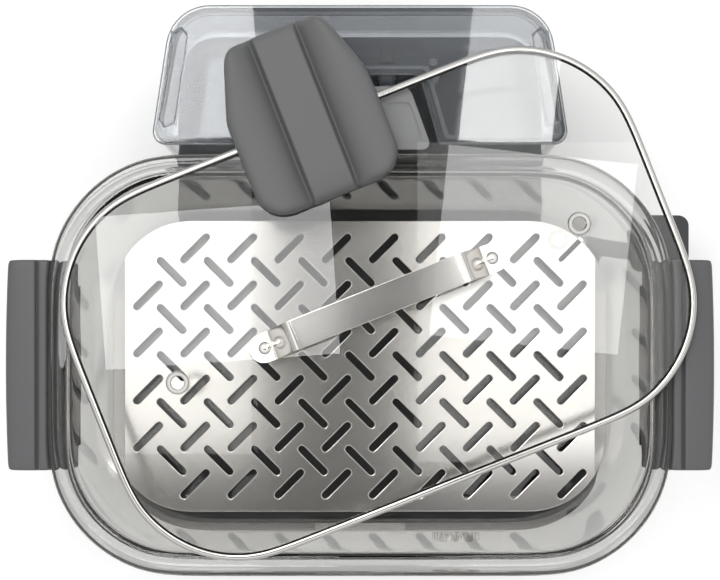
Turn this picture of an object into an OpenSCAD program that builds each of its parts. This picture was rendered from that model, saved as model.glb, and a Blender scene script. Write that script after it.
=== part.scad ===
// Countertop electric glass steamer.
// A glass pot with side handles stands on a heated base; a perforated tray sits in the pot.
// A water tank behind it feeds a steam generator, and a hood on the lid leads the steam in.
// The lid lies turned across the pot rim and the tank cover, as it does while filling.
// Origin: on the table, under the middle of the whole steamer. +X right, +Y rear, +Z up.
// Distances to the front and rear are taken from the pot's middle. Millimetres.

/* [Pot] */
// Length of the pot over its rim, left to right
pot_length = 380; // [372:1:390]
// Depth of the pot over its rim, front to rear
pot_depth = 257.5; // [255:0.5:260]
// Corner radius of the rim
pot_corner = 81; // [78:1:84]
// Height of the rim above the table
pot_rim_z = 180; // [178:1:186]
// Height of the underside of the pot
pot_bottom_z = 93; // [93:0.5:94]

/* [Base] */
// Length of the base, left to right
base_length = 323; // [318:1:330]
// Distance from the pot's middle to the base's front face
base_front = 109; // [108:0.5:112]
// Height of the top of the base
base_top_z = 92; // [90:0.5:92]
// Wall thickness of the plastic shells
shell_wall = 3; // [2.4:0.2:4]
// Half the width of the rear part that carries the tank
rear_half = 118; // [112:1:122]
// Distance from the pot's middle to the back of the rear part
rear_back = 214; // [208:1:216]

/* [Tank] */
// Half the width of the tank at its front
tank_front_half = 127.5; // [122:0.5:130]
// Half the width of the tank at its back
tank_back_half = 114.5; // [110:0.5:118]
// Distance from the pot's middle to the tank's front
tank_front = 134; // [133:0.5:136]
// Distance from the pot's middle to the tank's back
tank_back = 219; // [216:0.5:224]

/* [Lid] */
// Length of the lid over its steel rim
lid_length = 370; // [364:1:372]
// Depth of the lid over its steel rim
lid_depth = 238.5; // [234:0.5:240]
// Corner radius of the lid
lid_corner = 77; // [74:1:79]
// Turn of the lid as it lies across the pot
lid_turn = 21.6; // [0:0.1:24]
// Middle of the lid, left to right
lid_x = 11.2; // [0:0.1:14]
// Middle of the lid, front to rear
lid_y = 37.4; // [30:0.1:40]

/* [Tray] */
// Length of the tray
tray_length = 316; // [310:1:317]
// Depth of the tray
tray_depth = 186; // [180:1:187]
// Spacing of the steam slots
slot_pitch = 29.8; // [28:0.1:31]
// Length of a steam slot, end to end
slot_length = 24.7; // [20:0.1:26]
// Width of a steam slot
slot_width = 4.5; // [3.5:0.1:5]

/* [Controls] */
// Diameter of the control knob
knob_d = 30; // [26:1:34]
// Knob axis, right of the middle
knob_x = 64; // [58:1:70]
// Height of the knob and button line
control_z = 50; // [44:1:56]
// Travel of a push button
button_travel = 1.5; // [1:0.1:2]

/* [Hidden] */

$fn = 64;
gap = 0.3;          // between parts on different bodies
fit = 0.15;         // between parts fixed to each other
eps = 1;            // how far a cut runs past a face
corner_steps = 8;   // flats in a quarter turn of a lofted or cut corner
pot_y = -45.1;      // the pot's middle, from the origin

dark = "dimgray";
steel = "silver";

// ---- outline helpers ----

// Points of a rounded rectangle centred on the origin: half length, half depth, corner radius.
function rounded(hl, hd, r, n = corner_steps) = [
  for (q = [0 : 3], i = [0 : n])
    let (a = 90 * q + 90 * i / n,
         cx = (q == 0 || q == 3 ? 1 : -1) * (hl - r),
         cy = (q < 2 ? 1 : -1) * (hd - r))
    [cx + r * cos(a), cy + r * sin(a)]
];

// Round one corner of an outline: the corner, its neighbours before and after, and a radius.
function round_corner(p, before, after, r, n = 6) =
  let (u = (before - p) / norm(before - p),
       v = (after - p) / norm(after - p),
       half = acos(u * v) / 2,
       mid = (u + v) / norm(u + v),
       c = p + mid * r / sin(half),
       t1 = p + u * r / tan(half),
       t2 = p + v * r / tan(half),
       a1 = atan2(t1[1] - c[1], t1[0] - c[0]),
       turn = atan2(t2[1] - c[1], t2[0] - c[0]) - a1,
       sweep = turn > 180 ? turn - 360 : turn < -180 ? turn + 360 : turn)
  [for (i = [0 : n]) c + r * [cos(a1 + sweep * i / n), sin(a1 + sweep * i / n)]];

// Round every corner of an outline; radii holds one radius for each corner.
function round_outline(pts, radii) = [
  for (i = [0 : len(pts) - 1])
    each round_corner(pts[i], pts[(i + len(pts) - 1) % len(pts)],
                      pts[(i + 1) % len(pts)], radii[i])
];

// A closed solid through stacked rings of equal length, capped at both ends.
module loft(rings) {
  n = len(rings[0]);
  m = len(rings);
  sides = [
    for (k = [0 : m - 2], i = [0 : n - 1])
      let (a = k * n + i, b = k * n + (i + 1) % n)
      each [[a, b, b + n], [a, b + n, a + n]]
  ];
  bottom = [for (i = [1 : n - 2]) [0, i + 1, i]];
  last = (m - 1) * n;
  top = [for (i = [1 : n - 2]) [last, last + i, last + i + 1]];
  faces = concat(sides, bottom, top);
  polyhedron([for (r = rings) each r], [for (f = faces) [f[0], f[2], f[1]]]);
}

// A ring of 3D points at height z.
function ring(z, hl, hd, r) = [for (p = rounded(hl, hd, r)) [p[0], p[1], z]];

// A rounded rectangular plate with true round corners.
module plate(l, d, r, h) {
  linear_extrude(h) plate_2d(l, d, r);
}

module plate_2d(l, d, r) {
  square([l, d - 2 * r], center = true);
  square([l - 2 * r, d], center = true);
  for (x = [-1, 1], y = [-1, 1])
    translate([x * (l / 2 - r), y * (d / 2 - r)]) circle(r);
}

// A tube between two heights.
module tube(outer_d, inner_d, h) {
  difference() {
    cylinder(d = outer_d, h = h);
    translate([0, 0, -eps]) cylinder(d = inner_d, h = h + 2 * eps);
  }
}

// Moves what is drawn around the pot's middle to the part's origin.
module on_table() {
  translate([0, pot_y, 0]) children();
}

// ---- base ----

base_corner = 60;
base_mid_back = 100;        // back of the wide part of the base
base_floor_z = 10;          // underside of the housing walls
plate_t = 4;                // thickness of the top plate
rear_corner = 25;
shell_h = base_top_z - plate_t - base_floor_z;
boss_d = 10;
base_depth = base_front + base_mid_back;
screw_spots = [[-130, -60], [130, -60], [-130, 60], [130, 60], [-45, 200], [45, 200]];
tower_x = 44;               // half width of the tower at its front
tower_back_x = 30;          // half width at its back
tower_front = 131.5;
tower_back = 170;
tower_top_z = 172;
nozzle = [0, 152];
generator = [0, 119];
spigot_x = 17;
spigot_z = 106;
drain = [199, 82];          // axis of the drain lever
drain_z = 42;

module base_outline(inset = 0) {
  translate([0, (base_mid_back - base_front) / 2])
    plate_2d(base_length - 2 * inset, base_depth - 2 * inset, base_corner - inset);
  translate([0, (rear_back + inset) / 2])
    plate_2d(2 * (rear_half - inset), rear_back - 3 * inset, rear_corner - inset);
}

function tower_outline(inset = 0) = round_outline(
  [[-tower_x + inset, tower_front + inset], [tower_x - inset, tower_front + inset],
   [tower_back_x - inset, tower_back - inset], [-tower_back_x + inset, tower_back - inset]],
  [4, 4, 8 - inset / 2, 8 - inset / 2]);

module at_screws(z) {
  for (p = screw_spots) translate([p[0], p[1], z]) children();
}

module base_housing() {
  color(dark) on_table()
  difference() {
    translate([0, 0, base_floor_z]) linear_extrude(shell_h) base_outline();
    translate([0, 0, base_floor_z - eps]) linear_extrude(base_top_z) base_outline(shell_wall);
    // openings for the display, the buttons, the knob shaft, the drain and the cord
    translate([display_x - 34, -base_front - eps, control_z - 14])
      cube([68, shell_wall + 2 * eps, 30]);
    for (x = button_spots) translate([x, -base_front, control_z])
      rotate([90, 0, 0]) cylinder(d = 9, h = 10, center = true);
    translate([knob_x, -base_front, control_z])
      rotate([90, 0, 0]) cylinder(d = 12, h = 10, center = true);
    translate([110, drain[1], drain_z]) rotate([0, 90, 0]) cylinder(d = 14, h = 60);
    translate([70, rear_back, 30]) rotate([90, 0, 0]) cylinder(d = 14, h = 12, center = true);
  }
}

module base_top_plate() {
  color(dark) on_table()
  difference() {
    union() {
      translate([0, 0, base_top_z - plate_t + fit]) linear_extrude(plate_t - fit) base_outline();
      // screw bosses hanging down to the bottom cover
      at_screws(base_floor_z) cylinder(d = boss_d, h = shell_h + 2);
    }
    at_screws(base_floor_z - eps) cylinder(d = 3, h = 24);
    translate([nozzle[0], nozzle[1], base_top_z - 10]) cylinder(d = 22, h = 20);
    translate([spigot_x, hose_y, base_top_z - 10]) cylinder(d = 12, h = 20);
  }
}

module bottom_cover() {
  color(dark) on_table()
  difference() {
    translate([0, 0, base_floor_z - 3]) linear_extrude(3 - fit) base_outline(0.5);
    at_screws(0) cylinder(d = 3.6, h = 20);
    for (p = foot_spots) translate([p[0], p[1], 0]) cylinder(d = 8.4, h = 20);
  }
}

foot_spots = [[-115, -78], [115, -78], [-90, 185], [90, 185]];

module rubber_feet() {
  color("black") on_table()
  for (p = foot_spots) translate([p[0], p[1], 0]) {
    cylinder(d1 = 20, d2 = 22, h = base_floor_z - 3 - fit);
    cylinder(d = 8, h = base_floor_z - 1);
  }
}

module housing_screws() {
  color(steel) on_table()
  at_screws(0) {
    translate([0, 0, base_floor_z - 5.5]) cylinder(d = 6.5, h = 2.5 - fit);
    translate([0, 0, base_floor_z - 4]) cylinder(d = 2.9, h = 20);
  }
}

pad_spots = [[-110, -62], [110, -62], [-110, 62], [110, 62]];

module pot_rest_pads() {
  color("gray") on_table()
  for (p = pad_spots) translate([p[0], p[1], base_top_z]) cylinder(d = 18, h = 0.7);
}

// ---- front controls ----

button_spots = [-75, 25];
display_x = -25;
panel_y = -base_front - fit;
panel_t = 2.4;
panel_face = panel_y - panel_t;

module on_front(x, y, z) {
  translate([x, y, z]) rotate([90, 0, 0]) children();
}

module front_panel() {
  color(steel) on_table()
  difference() {
    on_front(0, panel_y, control_z - 1) linear_extrude(panel_t) plate_2d(198, 56, 14);
    on_front(display_x, panel_y + eps, control_z + 1) linear_extrude(panel_t + 2 * eps)
      plate_2d(66, 28, 4);
    for (x = button_spots) on_front(x, panel_y + eps, control_z)
      linear_extrude(panel_t + 2 * eps) plate_2d(14.4, 8.4, 4.2);
    on_front(knob_x, panel_y + eps, control_z) cylinder(d = 12, h = panel_t + 2 * eps);
  }
}

module display_bezel() {
  color(dark) on_table()
  difference() {
    on_front(display_x, -base_front + 2, control_z + 1) linear_extrude(5) plate_2d(65.6, 27.6, 4);
    on_front(display_x, -base_front + 2 + eps, control_z + 1) linear_extrude(8)
      plate_2d(60, 22, 3);
  }
}

// Steel trim strip along the front edge of the top plate.
module top_trim() {
  color(steel) on_table()
  translate([-29, -base_front, base_top_z + fit]) cube([58, 6, 0.9]);
}

module display_window() {
  color("darkslategray") on_table()
  on_front(display_x, -base_front, control_z + 1) linear_extrude(2.2) plate_2d(59.6, 21.6, 3);
}

module display_module() {
  color("black") on_table()
  on_front(display_x, -base_front + 6, control_z + 1) linear_extrude(5) plate_2d(58, 20, 1);
}

module control_board() {
  color("green") on_table() {
    translate([-95, -base_front + 11.5, control_z - 22]) cube([185, 1.6, 44]);
    for (x = button_spots) translate([x - 3, -base_front + 5.8, control_z - 3])
      cube([6, 5.7, 6]);
  }
}

// A button cap that stands proud of the panel by its travel and a little more, on its stem.
module button(x) {
  on_front(x, panel_face + 0.5, control_z) linear_extrude(button_travel + 1.5)
    plate_2d(13.6, 7.6, 3.8);
  on_front(x, -base_front + 3.9, control_z) cylinder(d = 5, h = 8);
}

module start_button() {
  color(steel) on_table() button(button_spots[0]);
}

module menu_button() {
  color(steel) on_table() button(button_spots[1]);
}

module knob_encoder() {
  color("gray") on_table()
  union() {
    translate([knob_x - 7, -base_front + 5, control_z - 7]) cube([14, 6.4, 14]);
    on_front(knob_x, -base_front + 6, control_z) cylinder(d = 6, h = 16);
  }
}

module control_knob() {
  color(steel) on_table()
  difference() {
    union() {
      on_front(knob_x, panel_face - 0.8, control_z) cylinder(d = knob_d, h = 9.6);
      for (a = [0 : 15 : 345]) on_front(knob_x, panel_face - 0.8, control_z)
        rotate([0, 0, a]) translate([knob_d / 2 - 0.6, -0.9, 0]) cube([1.4, 1.8, 8.4]);
    }
    on_front(knob_x, panel_face + eps, control_z) cylinder(r = 3.05, h = 9.4);
  }
}

// ---- steam tower and the works inside the base ----

module tower_shell() {
  color(dark) on_table()
  difference() {
    translate([0, 0, base_top_z + fit]) linear_extrude(tower_top_z - base_top_z - fit)
      polygon(tower_outline());
    translate([0, 0, base_top_z - eps]) linear_extrude(tower_top_z)
      polygon(tower_outline(shell_wall));
    at_spigot(tower_back - 5) cylinder(d = 12, h = 10);
  }
}

module outlet_platform() {
  color("gray") on_table()
  difference() {
    union() {
      translate([0, 0, tower_top_z + fit]) linear_extrude(3.5) polygon(tower_outline());
      translate([0, 0, tower_top_z - 5]) linear_extrude(6) polygon(tower_outline(3.3));
      translate([nozzle[0], nozzle[1], tower_top_z]) cylinder(d = 28, h = 6);
    }
    translate([0, 0, tower_top_z - 6]) linear_extrude(5) polygon(tower_outline(6));
    // sunk panels on both sides of the nozzle
    for (s = [-1, 1]) translate([0, 0, tower_top_z + 2.6]) linear_extrude(4)
      polygon(round_outline(
        [[s * 17.5, 137], [s * 38, 137], [s * 30.5, 160], [s * 17.5, 160]], [2, 3, 3, 2]));
    translate([nozzle[0], nozzle[1], tower_top_z - 10]) cylinder(d = 20.4, h = 20);
  }
}

module nozzle_seal() {
  color("darkgray") on_table()
  translate([nozzle[0], nozzle[1], tower_top_z + 6 + fit]) rotate_extrude()
    polygon([[10.4, 0], [14, 0], [12.6, 1.6], [11, 1.6]]);
}

module steam_duct() {
  color(steel) on_table()
  translate([nozzle[0], nozzle[1], 62]) tube(20, 17, tower_top_z + 5 - 62);
}

module steam_generator() {
  color("lightgray") on_table() difference() {
    union() {
      translate([generator[0] - 45, generator[1] - 47, 20]) cube([90, 94, 36]);
      translate([nozzle[0], nozzle[1], 55]) cylinder(d = 26, h = 13);
    }
    // the water chamber and its steam outlet
    translate([generator[0] - 38, generator[1] - 40, 34]) cube([76, 76, 16]);
    translate([nozzle[0], nozzle[1], 48]) cylinder(d = 17, h = 30);
    translate([nozzle[0], nozzle[1], 61.8]) cylinder(d = 20.3, h = 30);
    // ports for the feed hose and the drain pipe
    translate([spigot_x, hose_y, 48]) cylinder(d = hose_bore, h = 20);
    translate([spigot_x, hose_y, 52]) cylinder(d = hose_d + 0.3, h = 20);
    translate([30, drain[1], drain_z]) rotate([0, 90, 0]) cylinder(d = 6, h = 20);
    translate([41, drain[1], drain_z]) rotate([0, 90, 0]) cylinder(d = 10.3, h = 20);
    // channels for the heating elements
    for (y = element_spots) translate([-50, generator[1] + y, 27])
      rotate([0, 90, 0]) cylinder(d = 8.4, h = 110);
  }
}

element_spots = [-30, 30];

module heating_element() {
  color("gray") on_table()
  for (y = element_spots) translate([-58, generator[1] + y, 27]) rotate([0, 90, 0]) {
    cylinder(d = 8, h = 116);
    translate([0, 0, -8]) cylinder(d = 3, h = 132);
  }
}

module thermostat() {
  color("black") on_table()
  translate([-25, generator[1], 56 + fit]) {
    cylinder(d = 16, h = 8);
    for (s = [-1, 1]) translate([4 * s - 1.5, -0.5, 7.9]) cube([3, 1, 7]);
  }
}

hose_d = 8;
hose_bore = 5;
hose_y = 148;               // where the hose turns down

// Places what is drawn along +Z so that it runs to the rear on the spigot's axis.
module at_spigot(y) {
  translate([spigot_x, y, spigot_z]) rotate([-90, 0, 0]) children();
}

module hose_run(d, extra) {
  at_spigot(hose_y) cylinder(d = d, h = 9.8 + extra);
  translate([spigot_x, hose_y, spigot_z]) sphere(d = d);
  translate([spigot_x, hose_y, 52.2 - extra]) cylinder(d = d, h = spigot_z - 52.2 + extra);
}

module feed_hose() {
  color("whitesmoke") on_table()
  difference() {
    hose_run(hose_d, 0);
    hose_run(hose_bore, eps);
  }
}

module tank_spigot() {
  color("gray") on_table()
  difference() {
    union() {
      at_spigot(tower_back - 12) cylinder(d = 11.6, h = 14);
      at_spigot(tower_back) cylinder(d = 10, h = 18);
      at_spigot(tower_back - 9) cylinder(d = 13.6, h = 5);
    }
    at_spigot(tower_back - 12 - eps) cylinder(d = hose_bore, h = 34);
    at_spigot(tower_back + 12) tube(12, 7.6, 2.4);
  }
}

module spigot_seal() {
  color("black") on_table()
  at_spigot(tower_back + 13.2) rotate_extrude() translate([4.75, 0]) circle(0.9);
}

cord_r = 3.6;               // radius of the cord's passage

module cord_gland() {
  color("black") on_table()
  translate([70, rear_back, 30]) rotate([90, 0, 0]) difference() {
    union() {
      translate([0, 0, -3]) cylinder(d = 18, h = 3 - fit);
      translate([0, 0, -3]) cylinder(d = 13.6, h = 12);
    }
    translate([0, 0, -eps - 3]) cylinder(r = cord_r, h = 20);
  }
}

module drain_pipe() {
  color("gray") on_table()
  translate([41.2, drain[1], drain_z]) rotate([0, 90, 0]) tube(10, 6, drain[0] - 41 - 12.4);
}

module drain_tap() {
  color(dark) on_table()
  difference() {
    union() {
      translate([drain[0], drain[1], drain_z - 12]) cylinder(d = 24, h = 24);
      translate([150.5, drain[1], drain_z]) rotate([0, 90, 0])
        cylinder(d = 13.6, h = drain[0] - 150.5);
      translate([drain[0], drain[1], drain_z - 24]) cylinder(r = 5, h = 13);
    }
    translate([149, drain[1], drain_z]) rotate([0, 90, 0])
      cylinder(d = 10.3, h = drain[0] - 12 - 149);
    translate([150, drain[1], drain_z]) rotate([0, 90, 0]) cylinder(d = 6, h = drain[0] - 150);
    translate([drain[0], drain[1], drain_z - 25]) cylinder(d = 6, h = 26);
    translate([drain[0], drain[1], drain_z]) cylinder(r = 4.05, h = 20);
  }
}

module drain_lever() {
  color(dark) on_table()
  union() {
    translate([drain[0], drain[1], drain_z + 1]) cylinder(r = 4, h = 14);
    difference() {
      translate([drain[0] + 2, drain[1] + 1, drain_z + 13]) plate(32, 34, 7, 12);
      translate([drain[0] + 20, drain[1] - 8, drain_z + 12]) cylinder(d = 20, h = 9);
    }
  }
}

// ---- pot, handles and tray ----

hl = pot_length / 2;
hd = pot_depth / 2;
rim_z = pot_rim_z;
seat_drop = 4;
seat_hl = lid_length / 2 + 0.6;
seat_hd = lid_depth / 2 + 0.6;

// Outer rings from the underside up to the rim.
pot_outer = [
  ring(pot_bottom_z, hl - 40, hd - 42, 48),
  ring(pot_bottom_z + 1, hl - 36, hd - 38, 52),
  ring(pot_bottom_z + 4, hl - 32, hd - 33.5, 56),
  ring(pot_bottom_z + 11, hl - 28, hd - 29.5, 60),
  ring(pot_bottom_z + 19, hl - 25.5, hd - 27, 62),
  ring(rim_z - 10, hl - 10.5, hd - 10.5, 71),
  ring(rim_z - 8.5, hl - 1.5, hd - 1.5, pot_corner - 1.5),
  ring(rim_z - 7, hl, hd, pot_corner),
  ring(rim_z - 1.5, hl, hd, pot_corner),
  ring(rim_z, hl - 1.5, hd - 1.5, pot_corner - 1.5)
];

// Inner rings from the lid seat down to the floor.
pot_inner = [
  ring(rim_z, seat_hl + 0.4, seat_hd + 0.4, lid_corner + 1),
  ring(rim_z - seat_drop, seat_hl, seat_hd, lid_corner + 0.6),
  ring(rim_z - seat_drop, hl - 12, hd - 13, 70),
  ring(rim_z - seat_drop - 4, hl - 13.5, hd - 14.5, 69),
  ring(pot_bottom_z + 19, hl - 29.5, hd - 32, 58),
  ring(pot_bottom_z + 11, hl - 32, hd - 34.5, 56),
  ring(pot_bottom_z + 6, hl - 37, hd - 39.5, 51),
  ring(pot_bottom_z + 4, hl - 43, hd - 45.5, 45)
];

module glass_pot() {
  color("lightcyan", 0.4) on_table() loft(concat(pot_outer, pot_inner));
}

handle_out = 216.8;         // outer edge of a handle
handle_half = 64.5;         // half its length
handle_top = rim_z - 2;
grip_low = rim_z - 22;
flap_low = rim_z - 34;
saddle_top = rim_z - 10.4;  // just under the pot's flange

// Outline of the right grip seen from above: a slightly bowed outer edge, rounded ends.
function grip_outline() = concat(
  [for (i = [-8 : 8])
    let (t = i / 8)
    [handle_out - 1.6 * t * t - (abs(t) == 1 ? 3 : 0), handle_half * t]],
  [[hl - 20, handle_half], [hl - 20, -handle_half]]);

module handle_right_shape() {
  difference() {
    union() {
      // the grip beside the rim
      difference() {
        translate([0, 0, grip_low]) linear_extrude(handle_top - grip_low)
          polygon(grip_outline());
        translate([0, 0, grip_low - eps]) linear_extrude(40)
          plate_2d(pot_length + 2 * fit, pot_depth + 2 * fit, pot_corner + fit);
        // finger hollow under the grip
        translate([hl + 4.5, -handle_half + 6, grip_low - eps])
          cube([handle_out - hl - 9, 2 * handle_half - 12, handle_top - grip_low - 3.5]);
      }
      // the saddle under the rim, in steps that follow the leaning wall
      difference() {
        translate([0, 0, flap_low]) linear_extrude(saddle_top - flap_low)
          translate([hl - 30, -57]) square([34, 114]);
        for (z = [flap_low : 8 : rim_z - 10])
          translate([0, 0, z - 0.01]) linear_extrude(8.02) saddle_clear(z + 8);
      }
    }
    for (y = [-35, 35]) translate([hl - 5, y, flap_low - eps]) cylinder(d = 3.2, h = 14);
  }
}

// The pot's outer outline at height z, with room around it.
module saddle_clear(z) {
  low = pot_bottom_z + 19;
  t = min(1, (z - low) / (rim_z - 10 - low));
  inset = 25.5 - 15 * t;
  inset_y = 27 - 16.5 * t;
  plate_2d(pot_length - 2 * inset + 1, pot_depth - 2 * inset_y + 1, 62 + 9 * t);
}

module handle_right() {
  color(dark) on_table() handle_right_shape();
}

module handle_left() {
  color(dark) on_table() mirror([1, 0, 0]) handle_right_shape();
}

module both_sides() {
  children();
  mirror([1, 0, 0]) children();
}

module handle_clamps() {
  color("gray") on_table()
  both_sides() difference() {
    translate([hl - 12.4, -50, flap_low - 3 - fit]) cube([16, 100, 3]);
    for (y = [-35, 35]) translate([hl - 5, y, flap_low - 10]) cylinder(d = 3.6, h = 14);
  }
}

module handle_screws() {
  color(steel) on_table()
  both_sides() for (y = [-35, 35]) translate([hl - 5, y, 0]) {
    translate([0, 0, flap_low - 5.5 - fit]) cylinder(d = 6, h = 2.4);
    translate([0, 0, flap_low - 3.2 - fit]) cylinder(d = 3, h = 13);
  }
}

tray_z = 112;               // top face of the tray
sheet = 1;                  // thickness of the tray's sheet
lip = 5;                    // height of the lips along the front and rear
fold_turn = 24;             // slope of the end flaps
tray_corner = 53;
fold_x = tray_length / 2 - 8;

// One slot lying at an angle.
module slot(x, y, a) {
  translate([x, y]) rotate(a) {
    square([slot_length - slot_width, slot_width], center = true);
    for (s = [-1, 1]) translate([s * (slot_length - slot_width) / 2, 0]) circle(d = slot_width);
  }
}

// Rows of slots leaning one way, with rows leaning the other way between them.
module slots() {
  for (j = [-3 : 2], i = [-5 : 4])
    if (!(i == -5 && (j == -3 || j == 2)))
      slot((i + 0.5) * slot_pitch, (j + 0.5) * slot_pitch, 45);
  for (j = [-2 : 2], i = [-4 : 4])
    slot(i * slot_pitch, j * slot_pitch, -45);
}

module steam_tray() {
  color(steel) on_table()
  union() {
    translate([0, 0, tray_z - sheet]) linear_extrude(sheet) difference() {
      intersection() {
        plate_2d(tray_length, tray_depth, tray_corner);
        square([2 * fold_x, 200], center = true);
      }
      slots();
    }
    // lips turned down along the front and rear edges
    translate([0, 0, tray_z - lip]) linear_extrude(lip - sheet) intersection() {
      difference() {
        plate_2d(tray_length, tray_depth, tray_corner);
        plate_2d(tray_length - 2 * sheet, tray_depth - 2 * sheet, tray_corner - sheet);
      }
      square([2 * fold_x, 200], center = true);
    }
    // end flaps, folded down a little
    for (s = [-1, 1]) intersection() {
      translate([s * fold_x, 0, tray_z - sheet / 2]) rotate([0, s * fold_turn, 0])
        translate([s * 4.2, 0, 0]) cube([9, 150, sheet], center = true);
      translate([0, 0, tray_z - 10]) plate(tray_length, tray_depth, tray_corner, 12);
    }
  }
}

// ---- lid ----

lid_low = rim_z + gap;      // underside of the lid's rim as it lies on the pot
rim_w = 3;                  // width of the steel rim
rim_h = 4.4;
glass_low = lid_low + 0.4;
glass_t = 3.6;
glass_top = glass_low + glass_t;
rivet_x = 74;
eyelet_x = 131;
strap_w = 18;
strap_top = glass_top + 28.2;
strap_t = 1.2;

// Places what is drawn around the lid's own middle where the lid lies.
module on_lid() {
  translate([lid_x, lid_y, 0]) rotate([0, 0, lid_turn]) children();
}

module lid_glass() {
  color("lightcyan", 0.35) on_table()
  on_lid() difference() {
    translate([0, 0, glass_low])
      plate(lid_length - 2 * rim_w - fit, lid_depth - 2 * rim_w - fit, lid_corner - rim_w, glass_t);
    for (s = [-1, 1]) {
      translate([s * rivet_x, 0, 0]) cylinder(d = 6, h = 300);
      translate([s * eyelet_x, 0, 0]) cylinder(d = 10.4, h = 300);
      translate([s * hood_screw_x, hood_screw_y, 0]) cylinder(d = 3.4, h = 300);
      translate([s * hood_screw_x, hood_screw_y, glass_low - eps])
        cylinder(d = 6.4, h = eps + 1.9);
    }
    // the steam inlet under the hood
    translate([0, hood_inlet_y, glass_low - eps]) plate(40, 16, 7.9, glass_t + 2 * eps);
  }
}

module lid_rim() {
  color(steel) on_table()
  on_lid() difference() {
    translate([0, 0, lid_low]) plate(lid_length, lid_depth, lid_corner, rim_h);
    translate([0, 0, lid_low - eps])
      plate(lid_length - 2 * rim_w, lid_depth - 2 * rim_w, lid_corner - rim_w, rim_h + 2 * eps);
  }
}

// Side view of the strap: tabs on the glass, sloping risers and a flat top.
strap_profile = [
  [-rivet_x - 9, 0], [-rivet_x + 6.5, 0], [-rivet_x + 19, strap_top - glass_top - 2.5],
  [rivet_x - 19, strap_top - glass_top - 2.5], [rivet_x - 6.5, 0], [rivet_x + 9, 0],
  [rivet_x + 9, strap_t], [rivet_x - 5.6, strap_t], [rivet_x - 17.6, strap_top - glass_top - 0.9],
  [rivet_x - 20, strap_top - glass_top], [-rivet_x + 20, strap_top - glass_top],
  [-rivet_x + 17.6, strap_top - glass_top - 0.9], [-rivet_x + 5.6, strap_t],
  [-rivet_x - 9, strap_t]
];
washer_t = 0.8;

module strap_handle() {
  color(steel) on_table()
  on_lid() translate([0, 0, glass_top + washer_t + fit]) difference() {
    intersection() {
      rotate([90, 0, 0]) linear_extrude(strap_w + 2, center = true) polygon(strap_profile);
      union() {
        translate([0, 0, 20]) cube([2 * rivet_x, strap_w + 2, 60], center = true);
        for (s = [-1, 1]) translate([s * rivet_x, 0, -5]) cylinder(d = strap_w + 2, h = 60);
      }
    }
    for (s = [-1, 1]) translate([s * rivet_x, 0, -eps]) cylinder(d = 5, h = 5);
    for (s = [-1, 1]) translate([0, s * (strap_w / 2 + 6), 32])
      cube([2 * rivet_x - 30, 12, 60], center = true);
  }
}

module strap_washers() {
  color("gray") on_table()
  on_lid() for (s = [-1, 1]) translate([s * rivet_x, 0, glass_top + 0.05])
    tube(18, 6, washer_t);
}

rivet_low = glass_low - 1.2;

module strap_rivets() {
  color(steel) on_table()
  on_lid() for (s = [-1, 1]) translate([s * rivet_x, 0, 0]) {
    translate([0, 0, rivet_low]) cylinder(d = 9, h = 1.1);
    translate([0, 0, rivet_low]) cylinder(d = 4.8, h = 8);
    translate([0, 0, glass_top + washer_t + strap_t + 0.4]) cylinder(d1 = 8, d2 = 7, h = 1);
    translate([0, 0, glass_top + washer_t + strap_t + 1.4]) cylinder(d1 = 7, d2 = 4, h = 1);
  }
}

module vent_eyelets() {
  color(steel) on_table()
  on_lid() for (s = [-1, 1]) translate([s * eyelet_x, 0, 0]) difference() {
    union() {
      translate([0, 0, rivet_low]) cylinder(d = 12.6, h = 1.1);
      translate([0, 0, rivet_low]) cylinder(d = 10, h = glass_t + 2);
      translate([0, 0, glass_top + 0.1]) cylinder(d = 14.4, h = 1);
    }
    cylinder(d = 8, h = 300);
  }
}

// ---- steam hood on the lid's rear edge ----

hood_front = 69;
hood_rear = 175.5;
hood_half = 45.5;
hood_low = glass_top + 0.9;
hood_top = glass_top + 19;
hood_screw_x = 33;
hood_screw_y = 96;
hood_inlet_y = 94;

function hood_outline(inset = 0) = round_outline(
  [[-hood_half + inset, hood_front + inset], [hood_half - inset, hood_front + inset],
   [hood_half - inset, 134], [31 - inset, hood_rear - inset],
   [-31 + inset, hood_rear - inset], [-hood_half + inset, 134]],
  [18 - inset, 18 - inset, 10, 8 - inset, 8 - inset, 10]);

module hood_cover() {
  color("gray") on_table()
  on_lid() difference() {
    union() {
      translate([0, 0, hood_low]) linear_extrude(hood_top - 5 - hood_low)
        polygon(hood_outline());
      translate([0, 0, hood_low]) linear_extrude(hood_top - 2 - hood_low)
        polygon(hood_outline(3));
      translate([-13.5, hood_front + 8, hood_top - 6]) cube([27, 98, 6]);
    }
    translate([0, 0, hood_low - eps]) linear_extrude(hood_top - 5 - hood_low)
      polygon(hood_outline(3.5));
  }
}

module hood_duct() {
  color(dark) on_table()
  on_lid() difference() {
    union() {
      translate([0, 0, hood_low]) linear_extrude(2) polygon(hood_outline(3.8));
      for (s = [-1, 1]) translate([s * hood_screw_x, hood_screw_y, hood_low])
        cylinder(d = 9, h = 12);
    }
    for (s = [-1, 1]) translate([s * hood_screw_x, hood_screw_y, hood_low - eps])
      cylinder(d = 3, h = 11);
    translate([0, hood_inlet_y, hood_low - eps]) plate(40, 16, 7.9, 6);
    translate([0, 149, hood_low - eps]) plate(48, 32, 8, 6);
    translate([-24, 122, hood_low - eps]) cube([48, 5, 3.2]);
  }
}

module hood_seal() {
  color("darkgray") on_table()
  on_lid() difference() {
    translate([0, hood_inlet_y, glass_top + 0.05]) plate(52, 26, 12.9, 0.75);
    translate([0, hood_inlet_y, glass_top - eps]) plate(41, 17, 8.4, 3);
  }
}

module hood_screws() {
  color(steel) on_table()
  on_lid() for (s = [-1, 1]) translate([s * hood_screw_x, hood_screw_y, glass_low + 0.15]) {
    cylinder(d = 6, h = 1.6);
    cylinder(d = 2.9, h = 13);
  }
}

// ---- water tank ----

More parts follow.
